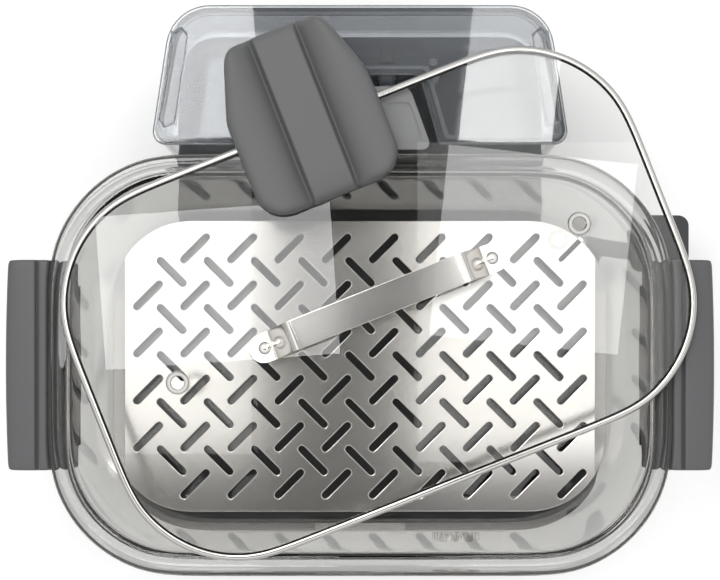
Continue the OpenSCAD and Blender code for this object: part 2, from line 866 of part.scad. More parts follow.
tank_low = base_top_z + 0.6;
tank_top = rim_z;
cover_t = 3;
// width and length of a grip slot in the tank cover, its distance from the middle, its turn
grip_slot = [7, 58];
grip_slot_x = 113.5;
grip_slot_turn = 8.5;
notch_front_x = 48;
notch_back_x = 36;
notch_back = 176.5;
tank_wall = 2.4;
post = [45, 186];

// Half outlines, right side first: a trapezoid with a notch around the tower.
function tank_outline(inset = 0) = round_outline(
  [[notch_front_x + inset, tank_front + inset], [tank_front_half - inset, tank_front + inset],
   [tank_back_half - inset, tank_back - inset], [-tank_back_half + inset, tank_back - inset],
   [-tank_front_half + inset, tank_front + inset], [-notch_front_x - inset, tank_front + inset],
   [-notch_back_x - inset, notch_back + inset], [notch_back_x + inset, notch_back + inset]],
  [3, 8 - inset, 27 - inset, 27 - inset, 8 - inset, 3, 4, 4]);

module tank_body() {
  color("lightgray", 0.4) on_table()
  difference() {
    union() {
      difference() {
        translate([0, 0, tank_low]) linear_extrude(tank_top - cover_t - fit - tank_low)
          polygon(tank_outline(1.2));
        translate([0, 0, tank_low + tank_wall]) linear_extrude(200)
          polygon(tank_outline(1.2 + tank_wall));
      }
      // socket for the spigot
      at_spigot(notch_back + 2) cylinder(d = 20, h = 16);
    }
    at_spigot(notch_back - 6) cylinder(d = 12.4, h = 19);
    at_spigot(notch_back - 6) cylinder(d = 6, h = 40);
  }
}

module tank_cover() {
  color("lightgray", 0.4) on_table()
  difference() {
    translate([0, 0, tank_top - cover_t]) linear_extrude(cover_t) polygon(tank_outline());
    // grip slots along both sides, open to the tank
    for (s = [-1, 1]) translate([s * grip_slot_x, tank_front + 40, tank_top - cover_t / 2])
      rotate([0, 0, s * grip_slot_turn]) cube([grip_slot[0], grip_slot[1], 2 * cover_t], center = true);
  }
}

// Soft ring under the cover that keeps it in the tank's mouth.
module cover_gasket() {
  color("gray") on_table()
  translate([0, 0, tank_top - cover_t - fit - 3]) linear_extrude(3) difference() {
    polygon(tank_outline(1.4 + tank_wall));
    polygon(tank_outline(3.4 + tank_wall));
  }
}

module tank_valve() {
  color("orange") on_table()
  at_spigot(notch_back + 18.1) difference() {
    union() {
      cylinder(d = 12, h = 1);
      translate([0, 0, 0.9]) cylinder(d1 = 9, d2 = 5, h = 8);
    }
    translate([0, 0, -eps]) cylinder(d = 3, h = 8);
  }
}

module float_post() {
  color("whitesmoke") on_table()
  translate([post[0], post[1], tank_low + tank_wall + 0.1]) {
    cylinder(d = 5, h = 72);
    cylinder(d = 9, h = 2);
  }
}

module tank_float() {
  color("white") on_table()
  translate([post[0], post[1], tank_low + tank_wall + 2.6]) tube(12, 5.8, 14);
}

base_housing();
base_top_plate();
bottom_cover();
rubber_feet();
housing_screws();
pot_rest_pads();
front_panel();
top_trim();
display_bezel();
display_window();
display_module();
control_board();
start_button();
menu_button();
knob_encoder();
control_knob();
tower_shell();
outlet_platform();
nozzle_seal();
steam_duct();
steam_generator();
heating_element();
thermostat();
feed_hose();
tank_spigot();
spigot_seal();
cord_gland();
drain_pipe();
drain_tap();
drain_lever();
glass_pot();
handle_left();
handle_right();
handle_clamps();
handle_screws();
steam_tray();
lid_glass();
lid_rim();
strap_handle();
strap_washers();
strap_rivets();
vent_eyelets();
hood_cover();
hood_duct();
hood_seal();
hood_screws();
tank_body();
tank_cover();
cover_gasket();
tank_valve();
float_post();
tank_float();
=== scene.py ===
"""The finished look of a countertop glass steamer, built as an add-on round the steamer's fixed frame.

Cages, profiles and outlines are in millimetres round the pot's middle, the lid's middle or the
frame's origin. They become metres when they are placed.
"""

import math

import bmesh
import bpy
from bpy.props import FloatProperty, FloatVectorProperty, PointerProperty
from mathutils import Matrix, Vector


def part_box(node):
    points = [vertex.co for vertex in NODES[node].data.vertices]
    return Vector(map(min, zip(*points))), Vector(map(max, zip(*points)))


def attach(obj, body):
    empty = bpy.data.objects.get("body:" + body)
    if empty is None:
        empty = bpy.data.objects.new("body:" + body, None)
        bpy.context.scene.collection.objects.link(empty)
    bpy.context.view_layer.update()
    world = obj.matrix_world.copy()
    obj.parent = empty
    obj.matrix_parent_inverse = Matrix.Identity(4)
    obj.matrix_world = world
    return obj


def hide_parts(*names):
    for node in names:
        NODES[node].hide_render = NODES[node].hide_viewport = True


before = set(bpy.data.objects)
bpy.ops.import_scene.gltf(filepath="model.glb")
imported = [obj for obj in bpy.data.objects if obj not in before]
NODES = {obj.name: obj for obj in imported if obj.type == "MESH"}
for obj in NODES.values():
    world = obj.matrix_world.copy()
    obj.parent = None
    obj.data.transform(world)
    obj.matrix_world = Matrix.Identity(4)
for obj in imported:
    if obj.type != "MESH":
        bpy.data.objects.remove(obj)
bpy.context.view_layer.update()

bl_info = {
    "name": "Glass Steamer",
    "version": (1, 0, 0),
    "blender": (4, 5, 0),
    "location": "View3D > Sidebar > Steamer",
    "description": "Builds the finished pieces of a countertop glass steamer",
    "category": "Add Mesh",
}

MM = 0.001


class Span:
    """Where a CAD node lies at rest, in millimetres."""

    def __init__(self, node):
        low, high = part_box(node)
        self.low = Vector(low) / MM
        self.high = Vector(high) / MM
        self.mid = (self.low + self.high) / 2
        self.size = self.high - self.low


POT = Span("glass_pot")
TRAY = Span("steam_tray")
LID = Span("lid_rim")
LID_GLASS = Span("lid_glass")
RIVETS = Span("strap_rivets")
STRAP = Span("strap_handle")
HOOD = Span("hood_cover")
COVER = Span("tank_cover")
TANK = Span("tank_body")
GRIP = Span("handle_right")

# the lid's half length, half width and corner, and how far its rivets and eyelets lie from its middle
LID_HALF_X, LID_HALF_Y, LID_CORNER = 185.0, 119.25, 77.0
RIVET_HEAD = 9.0
RIVET_X = 74.0
EYELET_X = 131.0
LID_TURN = math.atan2(RIVETS.size.y - RIVET_HEAD, RIVETS.size.x - RIVET_HEAD)

POT_PLACE = Matrix.Translation((0, POT.mid.y, 0))
LID_PLACE = Matrix.Translation((LID.mid.x, LID.mid.y, 0)) @ Matrix.Rotation(LID_TURN, 4, "Z")


# ---- outlines ----


def rounded_rectangle(half_x, half_y, radius, steps=12):
    """Points round a rectangle with round corners, anticlockwise."""
    points = []
    for quarter in range(4):
        centre_x = (half_x - radius) * (1 if quarter in (0, 3) else -1)
        centre_y = (half_y - radius) * (1 if quarter < 2 else -1)
        for i in range(steps + 1):
            a = math.pi / 2 * (quarter + i / steps)
            points.append((centre_x + radius * math.cos(a), centre_y + radius * math.sin(a)))
    return points


def round_outline(corners, radii, steps=8):
    """An outline through corners, each rounded by its radius."""
    points = []
    for i, corner in enumerate(corners):
        corner = Vector(corner)
        back = (Vector(corners[i - 1]) - corner).normalized()
        ahead = (Vector(corners[(i + 1) % len(corners)]) - corner).normalized()
        half = back.angle(ahead) / 2
        centre = corner + (back + ahead).normalized() * radii[i] / math.sin(half)
        start = corner + back * radii[i] / math.tan(half) - centre
        end = corner + ahead * radii[i] / math.tan(half) - centre
        for k in range(steps + 1):
            points.append(centre + radii[i] * start.normalized().slerp(end.normalized(), k / steps))
    return [(p.x, p.y) for p in points]


def slot_outline(x, y, length, width, turn, steps=5):
    """A slot with round ends, turned about its middle."""
    points = []
    for end in (0, 1):
        for i in range(steps + 1):
            a = math.pi * (end + i / steps) - math.pi / 2
            along = (length - width) / 2 * (1 if end == 0 else -1) + width / 2 * math.cos(a)
            across = width / 2 * math.sin(a)
            points.append((x + along * math.cos(turn) - across * math.sin(turn),
                           y + along * math.sin(turn) + across * math.cos(turn)))
    return points


def circle_outline(x, y, radius, steps=24):
    """A circle as a closed outline."""
    turns = [2 * math.pi * i / steps for i in range(steps)]
    return [(x + radius * math.cos(a), y + radius * math.sin(a)) for a in turns]


def cage_ring(half_x, half_y, radius, z, corner=6, along_x=8, along_y=4):
    """One ring of a cage. Its corner points stand out a little, so that subdivision lands on the arc."""
    step = math.pi / 2 / corner
    stand_out = 3 / (2 + math.cos(step))
    ring = []
    for quarter in range(4):
        side_x, side_y = ((1, 1), (-1, 1), (-1, -1), (1, -1))[quarter]
        centre = Vector((side_x * (half_x - radius), side_y * (half_y - radius), z))
        for i in range(corner + 1):
            a = math.pi / 2 * quarter + i * step
            reach = radius if i in (0, corner) else radius * stand_out
            ring.append(centre + reach * Vector((math.cos(a), math.sin(a), 0)))
        after = ring[-1]
        if quarter % 2 == 0:
            far, parts = Vector((-side_x * (half_x - radius), after.y, z)), along_x
        else:
            far, parts = Vector((after.x, -side_y * (half_y - radius), z)), along_y
        ring += [after.lerp(far, i / parts) for i in range(1, parts)]
    return ring


# ---- meshes ----


def loft(bm, rings, closed=False, caps=(True, True)):
    """Faces between rings of equal length, with caps on the first and the last."""
    rows = [[bm.verts.new(p) for p in ring] for ring in rings]
    count = len(rows[0])
    pairs = list(zip(rows, rows[1:])) + ([(rows[-1], rows[0])] if closed else [])
    for low, high in pairs:
        for i in range(count):
            bm.faces.new((low[i], low[(i + 1) % count], high[(i + 1) % count], high[i]))
    if not closed:
        if caps[0]:
            bm.faces.new(reversed(rows[0]))
        if caps[1]:
            bm.faces.new(rows[-1])
    return rows


def walls(outline, profile):
    """Rings for a loft: an outline, moved in as far as each step of a profile says, at its height."""
    return [[Vector((x, y, z)) for x, y in outline(inset)] for inset, z in profile]


def grid(bm, rows):
    """An open sheet of faces through rows of points of equal length."""
    verts = [[bm.verts.new(p) for p in row] for row in rows]
    for a, b in zip(verts, verts[1:]):
        for i in range(len(a) - 1):
            bm.faces.new((a[i], a[i + 1], b[i + 1], b[i]))
    return verts


def make_object(name, bm, sharp=None):
    """An object from a bmesh, its normals outwards. Faces are smooth, except across sharp edges."""
    bmesh.ops.recalc_face_normals(bm, faces=bm.faces)
    mesh = bpy.data.meshes.new(name)
    bm.to_mesh(mesh)
    bm.free()
    mesh.shade_smooth()
    if sharp is not None:
        mesh.set_sharp_from_angle(angle=math.radians(sharp))
    obj = bpy.data.objects.new(name, mesh)
    bpy.context.scene.collection.objects.link(obj)
    return obj


def stack(obj, *modifiers):
    """Adds modifiers, each a type and its settings."""
    for kind, settings in modifiers:
        modifier = obj.modifiers.new(kind.title(), kind)
        for key, value in settings.items():
            setattr(modifier, key, value)
    return obj


def smooth_by(levels):
    """A Subdivision Surface, the same in the viewport and the render."""
    return "SUBSURF", {"levels": levels, "render_levels": levels}


def edge_by(width, segments=3, angle=30):
    """A Bevel of that width on every edge sharper than the angle."""
    return "BEVEL", {"width": width, "segments": segments, "limit_method": "ANGLE",
                     "angle_limit": math.radians(angle), "harden_normals": True,
                     "use_clamp_overlap": True}


def apply_stack(obj):
    """Replaces the object's mesh with what its modifiers make of it."""
    depsgraph = bpy.context.evaluated_depsgraph_get()
    mesh = bpy.data.meshes.new_from_object(obj.evaluated_get(depsgraph))
    obj.modifiers.clear()
    old, obj.data = obj.data, mesh
    if isinstance(old, bpy.types.Mesh):
        bpy.data.meshes.remove(old)
    return obj


def place(obj, matrix=Matrix.Identity(4)):
    """Puts a mesh in millimetres where it belongs, in metres, with its object left at the origin."""
    obj.data.transform(Matrix.Scale(MM, 4) @ matrix)
    return obj


def sheet(name, outlines, low, high, edge=0.0, resolution=2):
    """A flat plate between two heights. Outlines inside the first are holes, and its edges are round."""
    curve = bpy.data.curves.new(name, "CURVE")
    curve.dimensions = "2D"
    curve.fill_mode = "BOTH"
    curve.extrude = (high - low) / 2 - edge
    curve.bevel_depth = edge
    curve.bevel_resolution = resolution
    curve.offset = -edge
    for outline in outlines:
        spline = curve.splines.new("POLY")
        spline.points.add(len(outline) - 1)
        for point, (x, y) in zip(spline.points, outline):
            point.co = (x, y, 0, 1)
        spline.use_cyclic_u = True
    flat = bpy.data.objects.new(name, curve)
    bpy.context.scene.collection.objects.link(flat)
    depsgraph = bpy.context.evaluated_depsgraph_get()
    bm = bmesh.new()
    source = bpy.data.meshes.new_from_object(flat.evaluated_get(depsgraph))
    bm.from_mesh(source)
    bpy.data.meshes.remove(source)
    bpy.data.objects.remove(flat)
    bpy.data.curves.remove(curve)
    bmesh.ops.remove_doubles(bm, verts=bm.verts, dist=0.01)
    bmesh.ops.translate(bm, verts=bm.verts, vec=(0, 0, (low + high) / 2))
    plate = make_object(name, bm, sharp=35)
    for face in plate.data.polygons:
        face.use_smooth = abs(face.normal.z) < 0.999
    return plate


def turned(name, profile, steps=48, places=(Matrix.Identity(4),)):
    """A turned shape from a profile of radius and height, top to bottom, copied to each place."""
    bm = bmesh.new()
    verts = [bm.verts.new((r, 0, z)) for r, z in profile]
    for a, b in zip(verts, verts[1:]):
        bm.edges.new((a, b))
    mesh = bpy.data.meshes.new(name)
    bm.to_mesh(mesh)
    bm.free()
    obj = bpy.data.objects.new(name, mesh)
    bpy.context.scene.collection.objects.link(obj)
    stack(obj, ("SCREW", {"steps": steps, "render_steps": steps, "use_merge_vertices": True,
                          "merge_threshold": 0.002, "use_smooth_shade": True}))
    apply_stack(obj)
    bm = bmesh.new()
    for spot in places:
        copy = obj.data.copy()
        copy.transform(spot)
        bm.from_mesh(copy)
        bpy.data.meshes.remove(copy)
    bpy.data.objects.remove(obj)
    return make_object(name, bm, sharp=40)


def join(name, pieces):
    """One object from several in the same units."""
    bm = bmesh.new()
    for piece in pieces:
        bm.from_mesh(piece.data)
        mesh = piece.data
        bpy.data.objects.remove(piece)
        bpy.data.meshes.remove(mesh)
    mesh = bpy.data.meshes.new(name)
    bm.to_mesh(mesh)
    bm.free()
    obj = bpy.data.objects.new(name, mesh)
    bpy.context.scene.collection.objects.link(obj)
    return obj


def edged(node, width=0.6, segments=3):
    """A copy of a CAD node with its loose triangles merged and its edges rounded, in metres."""
    bm = bmesh.new()
    bm.from_mesh(NODES[node].data)
    bmesh.ops.remove_doubles(bm, verts=bm.verts, dist=0.01 * MM)
    bmesh.ops.dissolve_limit(bm, angle_limit=math.radians(0.5), verts=bm.verts, edges=bm.edges)
    mesh = bpy.data.meshes.new(node)
    bm.to_mesh(mesh)
    bm.free()
    mesh.shade_smooth()
    obj = bpy.data.objects.new("finished_" + node, mesh)
    bpy.context.scene.collection.objects.link(obj)
    return stack(obj, edge_by(width * MM, segments, 35))


def adopt(obj, finish, body, slot, *nodes):
    """Gives a finished piece its material and its body, and hides the CAD nodes that it stands for. Its
    slot is not used.
    """
    obj.data.materials.clear()
    obj.data.materials.append(finish)
    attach(obj, body)
    if nodes:
        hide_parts(*nodes)
    return obj


def finish_node(finish, body, slot, width, *nodes):
    """Puts a copy with rounded edges in the place of each CAD node."""
    for node in nodes:
        adopt(edged(node, width), finish, body, slot, node)


def dress(finish, *nodes):
    """Gives CAD nodes that stay as they are a material."""
    for node in nodes:
        NODES[node].data.materials.clear()
        NODES[node].data.materials.append(finish)


# ---- materials ----


class Wire:
    """An output socket. Arithmetic on it adds Math nodes to its tree."""

    def __init__(self, socket):
        self.socket = socket

    def math(self, operation, first, second):
        """The result of a Math node in this socket's tree."""
        return add_node(self.socket.id_data, "ShaderNodeMath", {"operation": operation},
                        {0: first, 1: second})

    def __add__(self, other):
        return self.math("ADD", self, other)

    __radd__ = __add__

    def __sub__(self, other):
        return self.math("SUBTRACT", self, other)

    def __rsub__(self, other):
        return self.math("SUBTRACT", other, self)

    def __mul__(self, other):
        return self.math("MULTIPLY", self, other)

    __rmul__ = __mul__


def add_node(tree, kind, settings=None, values=None, output=0):
    """Adds a node, sets it, then sets or links its inputs, and returns one of its outputs."""
    node = tree.nodes.new(kind)
    for key, value in (settings or {}).items():
        if key == "stops":
            ramp = node.color_ramp
            while len(ramp.elements) < len(value):
                ramp.elements.new(0.5)
            for element, (position, colour) in zip(ramp.elements, value):
                element.position, element.color = position, colour
        else:
            setattr(node, key, value)
    for key, value in (values or {}).items():
        if isinstance(value, Wire):
            tree.links.new(value.socket, node.inputs[key])
        else:
            node.inputs[key].default_value = value
    return Wire(node.outputs[output])


class Finish:
    """A material being written, with its Principled shader and its Object coordinates."""

    def __init__(self, name, sockets=None):
        self.material = bpy.data.materials.new(name)
        self.material.use_nodes = True
        self.tree = self.material.node_tree
        self.shader = self.tree.nodes["Principled BSDF"]
        self.place = add_node(self.tree, "ShaderNodeTexCoord", output="Object")
        for key, value in (sockets or {}).items():
            self.shader.inputs[key].default_value = value

    def node(self, kind, settings=None, values=None, output=0):
        """A node in this material's tree."""
        return add_node(self.tree, kind, settings, values, output)

    def stretched(self, scale):
        """Object coordinates scaled along each axis."""
        return self.node("ShaderNodeMapping", None, {"Vector": self.place, "Scale": scale})

    def noise(self, scale, detail=3.0, rough=0.5, vector=None):
        """Noise from 0 to 1, scale in waves per metre."""
        return self.node("ShaderNodeTexNoise", None, {
            "Vector": vector or self.place, "Scale": scale, "Detail": detail, "Roughness": rough})

    def feed(self, socket, wire):
        """Links a wire to one of the shader's sockets."""
        self.tree.links.new(wire.socket, self.shader.inputs[socket])

    def tint(self, dark, light, amount):
        """Base Color between two colours, by amount."""
        mixed = self.node("ShaderNodeMix", {"data_type": "RGBA"},
                          {"Factor": amount, 6: (*dark, 1), 7: (*light, 1)}, output=2)
        self.feed("Base Color", mixed)

    def bump(self, height, depth, strength=1.0):
        """Relief of that depth in millimetres."""
        self.feed("Normal", self.node("ShaderNodeBump", None, {
            "Height": height, "Distance": depth * MM, "Strength": strength}))

    def let_light_through(self):
        """Lets lamps and soft light through clear walls, so that what is inside stays lit."""
        output = self.tree.nodes["Material Output"]
        path = self.tree.nodes.new("ShaderNodeLightPath")
        # each wall is crossed by two faces, and each face takes the root of the tint
        tint = [math.sqrt(c) for c in self.shader.inputs["Base Color"].default_value]
        clear = self.node("ShaderNodeBsdfTransparent", None, {"Color": tint})
        shown = Wire(self.shader.outputs[0])
        for ray in ("Is Diffuse Ray", "Is Shadow Ray"):
            shown = self.node("ShaderNodeMixShader", None,
                              {0: Wire(path.outputs[ray]), 1: shown, 2: clear})
        self.tree.links.new(shown.socket, output.inputs["Surface"])

    def darken_inside(self, colour, density):
        """Tints light by how far it travels inside."""
        smoke = self.node("ShaderNodeVolumeAbsorption", None,
                          {"Color": (*colour, 1), "Density": density})
        self.tree.links.new(smoke.socket, self.tree.nodes["Material Output"].inputs["Volume"])


def shade(colour, factor):
    """A colour made lighter or darker."""
    return tuple(min(1.0, c * factor) for c in colour)


def moulded(name, colour, roughness=0.45, grain=900.0, depth=0.03):
    """Moulded plastic with a fine eroded grain, a little unevenness and faint handling marks."""
    f = Finish(name, {"Specular IOR Level": 0.45})
    wide = f.noise(9.0, 4.0)
    fine = f.noise(grain, 4.0, 0.6)
    f.tint(shade(colour, 0.86), shade(colour, 1.12), wide * 0.7 + fine * 0.3)
    f.feed("Roughness", (roughness - 0.06) + 0.08 * wide + 0.08 * fine)
    f.bump(fine, depth, 0.35)
    return f.material


def clear_glass(name, tint, wave=0.02):
    """Clear pressed glass with a faint waviness."""
    f = Finish(name, {"Base Color": (*tint, 1), "Roughness": 0.0, "IOR": 1.5,
                      "Transmission Weight": 1.0})
    f.bump(f.noise(14.0, 2.0), wave, 0.5)
    f.let_light_through()
    return f.material


def smoked(name, tint):
    """Clear moulded plastic, tinted like smoke, darker where it is seen edge on."""
    f = Finish(name, {"Base Color": (*tint, 1), "Roughness": 0.02, "IOR": 1.45,
                      "Transmission Weight": 0.94})
    f.bump(f.noise(60.0, 2.0), 0.03, 0.4)
    f.let_light_through()
    f.darken_inside((0.35, 0.36, 0.38), 45.0)
    return f.material


def polished(name, colour, roughness=0.1):
    """Polished steel with fine polishing marks."""
    f = Finish(name, {"Metallic": 1.0})
    marks = f.noise(220.0, 4.0, 0.6, f.stretched((1, 6, 6)))
    wide = f.noise(20.0, 2.0)
    f.tint(shade(colour, 0.9), shade(colour, 1.06), wide)
    f.feed("Roughness", (roughness - 0.03) + 0.05 * marks + 0.03 * wide)
    f.bump(marks, 0.004, 0.4)
    return f.material


def satin(name, colour, roughness=0.24):
    """Satin rolled steel, its grain along X."""
    f = Finish(name, {"Metallic": 1.0})
    grain = f.noise(1500.0, 3.0, 0.6, f.stretched((0.03, 1, 1)))
    speckle = f.noise(1800.0, 2.0)
    wide = f.noise(8.0, 3.0)
    f.tint(shade(colour, 0.8), shade(colour, 1.1), wide * 0.3 + speckle * 0.7)
    f.feed("Roughness", (roughness - 0.02) + 0.03 * grain + 0.02 * wide)
    f.bump(grain + 8 * wide, 0.001, 0.4)
    return f.material


def cast_metal(name, colour):
    """Sand-cast aluminium, rough and dull."""
    f = Finish(name, {"Metallic": 1.0})
    pits = f.noise(700.0, 5.0, 0.7)
    f.tint(shade(colour, 0.7), colour, pits)
    f.feed("Roughness", 0.45 + 0.2 * pits)
    f.bump(pits, 0.15, 0.6)
    return f.material


def rubber(name, colour, roughness=0.7):
    """Rubber or silicone with a dull bloom."""
    f = Finish(name, {"Specular IOR Level": 0.3})
    bloom = f.noise(160.0, 5.0, 0.65)
    f.tint(shade(colour, 0.8), shade(colour, 1.2), bloom)
    f.feed("Roughness", (roughness - 0.08) + 0.16 * bloom)
    f.bump(bloom, 0.03, 0.4)
    return f.material


def solder_mask(name):
    """A circuit board's green lacquer over its tracks."""
    f = Finish(name, {"Specular IOR Level": 0.5})
    tracks = f.node("ShaderNodeTexVoronoi", {"feature": "DISTANCE_TO_EDGE"},
                    {"Vector": f.place, "Scale": 220.0})
    shown = f.node("ShaderNodeMath", {"operation": "LESS_THAN"}, {0: tracks, 1: 0.08})
    f.tint((0.02, 0.14, 0.05), (0.05, 0.24, 0.1), shown)
    f.feed("Roughness", 0.35 - 0.1 * shown)
    f.bump(shown, 0.03)
    return f.material


def lens(name):
    """A black gloss window with a faint mottle."""
    f = Finish(name, {"Specular IOR Level": 0.5})
    mottle = f.noise(300.0, 3.0)
    f.tint((0.008, 0.009, 0.011), (0.016, 0.018, 0.022), mottle)
    f.feed("Roughness", 0.06 + 0.04 * mottle)
    return f.material


# ---- settings ----


def colour_setting(name, description, colour):
    """A colour setting."""
    return FloatVectorProperty(name=name, description=description, default=colour, subtype="COLOR",
                               min=0, max=1)


def length_setting(name, description, default, low, high):
    """A length setting, its values given in millimetres."""
    return FloatProperty(name=name, description=description, default=default * MM, min=low * MM,
                         max=high * MM, unit="LENGTH")


class SteamerColours(bpy.types.PropertyGroup):
    """Colours of the steamer's finishes."""

    housing: colour_setting(
        "Housing", "Plastic of the base and the tower", (0.045, 0.046, 0.048))
    handles: colour_setting(
        "Handles", "Plastic of the side handles", (0.094, 0.095, 0.098))
    hood: colour_setting(
        "Hood", "Plastic of the steam hood", (0.112, 0.113, 0.115))
    platform: colour_setting(
        "Platform", "Plastic of the steam outlet's platform", (0.27, 0.275, 0.28))
    tank: colour_setting(
        "Tank", "Tint of the water tank", (0.72, 0.74, 0.76))
    pot: colour_setting(
        "Pot", "Tint of the glass pot", (0.58, 0.58, 0.565))
    lid: colour_setting(
        "Lid", "Tint of the lid's glass", (0.92, 0.92, 0.91))
    steel: colour_setting(
        "Steel", "Colour of the steel pieces", (0.78, 0.76, 0.73))


class SteamerSizes(bpy.types.PropertyGroup):
    """Sizes of details that the frame leaves plain."""

    slot_pitch: length_setting(
        "Slot Pitch", "Spacing of the tray's steam slots", 30.1, 28, 31)
    slot_length: length_setting(
        "Slot Length", "Length of a steam slot", 24.7, 20, 26)
    slot_width: length_setting(
        "Slot Width", "Width of a steam slot", 4.5, 3, 6)
    rim_width: length_setting(
        "Rim Width", "Width of the lid's steel rim", 5.2, 3, 6)
    strap_width: length_setting(
        "Strap Width", "Width of the lid's strap handle", 18.0, 14, 20)


class SteamerStage(bpy.types.PropertyGroup):
    """The camera and the light."""

    camera_height: FloatProperty(
        name="Camera Height", description="Height of the camera above the table",
        default=1.5, min=1, max=3, unit="LENGTH")
    camera_forward: FloatProperty(
        name="Camera Forward", description="Distance of the camera in front of the view's middle",
        default=0.059, min=0, max=0.2, unit="LENGTH")
    lens: FloatProperty(
        name="Lens", description="Focal length of the camera in millimetres",
        default=108.55, min=50, max=200)
    sky: FloatProperty(
        name="Sky", description="Strength of the soft light from all round",
        default=1.35, min=0, max=4)
    zenith: FloatProperty(
        name="Zenith", description="Light from straight above, as a share of the rest",
        default=0.08, min=0, max=1)
    panel: FloatProperty(
        name="Panel", description="Brightness of the soft panels level with the camera",
        default=6.5, min=0, max=20)


def colours():
    """The steamer's colours, as set in the scene."""
    return bpy.context.scene.steamer_colours


def sizes():
    """The sizes of its details, as set in the scene."""
    return bpy.context.scene.steamer_sizes


# ---- the stage ----


class STEAMER_OT_stage(bpy.types.Operator):
    """Make the floor, the camera and the soft studio light"""

    bl_idname = "steamer.stage"
    bl_label = "Stage"

    def execute(self, context):
        settings = context.scene.steamer_stage
        self.floor()
        self.camera(context, settings)
        self.sky(context, settings)
        # left, right, front and rear edge of each panel in metres, its share of the brightness, and
        # whether it lights what lies as high as the lid, what lies lower, or (None) both
        for side, x0, x1, y0, y1, share, high in (
                ("left", -0.52, -0.132, -0.14, 0.24, 0.28, False),
                ("right", 0.07, 0.52, -0.15, 0.24, 0.28, False),
                ("near_left", -0.315, -0.030, -0.028, 0.158, 1.0, True),
                ("near_right", 0.095, 0.325, -0.008, 0.224, 0.9, True),
                ("rear_left", -0.52, -0.13, 0.236, 0.56, 1.25, None),
                ("rear_right", 0.137, 0.25, 0.236, 0.56, 0.85, None)):
            self.panel(side, x0, x1, y0, y1, share * settings.panel, high)
        context.scene.view_settings.view_transform = "Standard"
        return {"FINISHED"}

    def floor(self):
        """A wide pale floor."""
        bm = bmesh.new()
        bmesh.ops.create_grid(bm, x_segments=8, y_segments=8, size=4.0)
        floor = make_object("floor", bm)
        # the floor glows a little, so that it stays white beside the steamer
        f = Finish("pale_floor", {"Roughness": 0.9, "Emission Color": (1, 1, 1, 1),
                                  "Emission Strength": 0.2})
        f.tint((0.93, 0.93, 0.93), (0.96, 0.96, 0.96), f.noise(6.0))
        floor.data.materials.append(f.material)

    def camera(self, context, settings):
        """A camera that looks straight down, its frame shifted back over the steamer."""
        data = bpy.data.cameras.new("camera")
        data.lens = settings.lens
        data.sensor_width = 36.0
        data.clip_end = 20.0
        camera = bpy.data.objects.new("camera", data)
        to_lid = settings.camera_height - LID.low.z * MM
        data.shift_y = settings.camera_forward / to_lid * settings.lens / data.sensor_width
        view_middle = POT.mid.y * MM + 0.0456
        camera.location = (0, view_middle - settings.camera_forward, settings.camera_height)
        context.scene.collection.objects.link(camera)
        context.scene.camera = camera

    def sky(self, context, settings):
        """Even light from all round, darker straight above, as a studio ceiling is."""
        world = bpy.data.worlds.new("studio")
        world.use_nodes = True
        context.scene.world = world
        tree = world.node_tree
        way = add_node(tree, "ShaderNodeTexCoord", output="Generated")
        height = add_node(tree, "ShaderNodeSeparateXYZ", None, {0: way}, output="Z")
        stops = [(0.0, 0.3), (0.55, 0.62), (0.85, 1.0), (0.91, 0.9), (0.975, settings.zenith)]
        ramp = add_node(tree, "ShaderNodeValToRGB",
                        {"stops": [(at, (v, v, v, 1)) for at, v in stops]}, {0: height})
        strength = ramp * settings.sky
        background = tree.nodes["Background"]
        background.inputs["Color"].default_value = (1, 1, 1, 1)
        tree.links.new(strength.socket, background.inputs["Strength"])

    def panel(self, side, x0, x1, y0, y1, radiance, high):
        """A soft panel level with the camera, which the camera doesn't see."""
        data = bpy.data.lights.new("panel_" + side, "AREA")
        data.shape = "RECTANGLE"
        data.size, data.size_y = x1 - x0, y1 - y0
        data.energy = radiance * math.pi * data.size * data.size_y
        camera_height = bpy.context.scene.camera.location.z
        if high is not None:
            data.use_nodes = True
            tree = data.node_tree
            glass = add_node(tree, "ShaderNodeLightPath", output="Transmission Depth")
            reach = add_node(tree, "ShaderNodeLightPath", output="Ray Length")
            # light from a panel to the lid travels less than this
            limit = camera_height - (TRAY.high.z + LID.high.z) / 2 * MM + 0.01
            raised = glass.math("LESS_THAN", glass, 0.5) * reach.math("LESS_THAN", reach, limit)
            # the strap handle stands nearer still and takes only a little of it
            near = camera_height - (STRAP.high.z + LID.high.z) / 2 * MM
            strong = reach.math("GREATER_THAN", reach, near)
            shown = raised * (0.13 + 0.87 * strong) if high else 1 - raised
            tree.links.new(shown.socket, tree.nodes["Emission"].inputs["Strength"])
        lamp = bpy.data.objects.new("panel_" + side, data)
        # lamps at one height would hide each other, so all but the raised ones hang a little higher
        lift = 0.0 if high else 0.01
        lamp.location = ((x0 + x1) / 2, (y0 + y1) / 2, camera_height + lift)
        # all but the panels for what lies lower hang a little askew, turned towards the middle
        lamp.rotation_euler.z = 0 if high is False else math.radians(4 if x0 < 0 else -6)
        lamp.visible_camera = False
        bpy.context.scene.collection.objects.link(lamp)


# ---- pot and handles ----


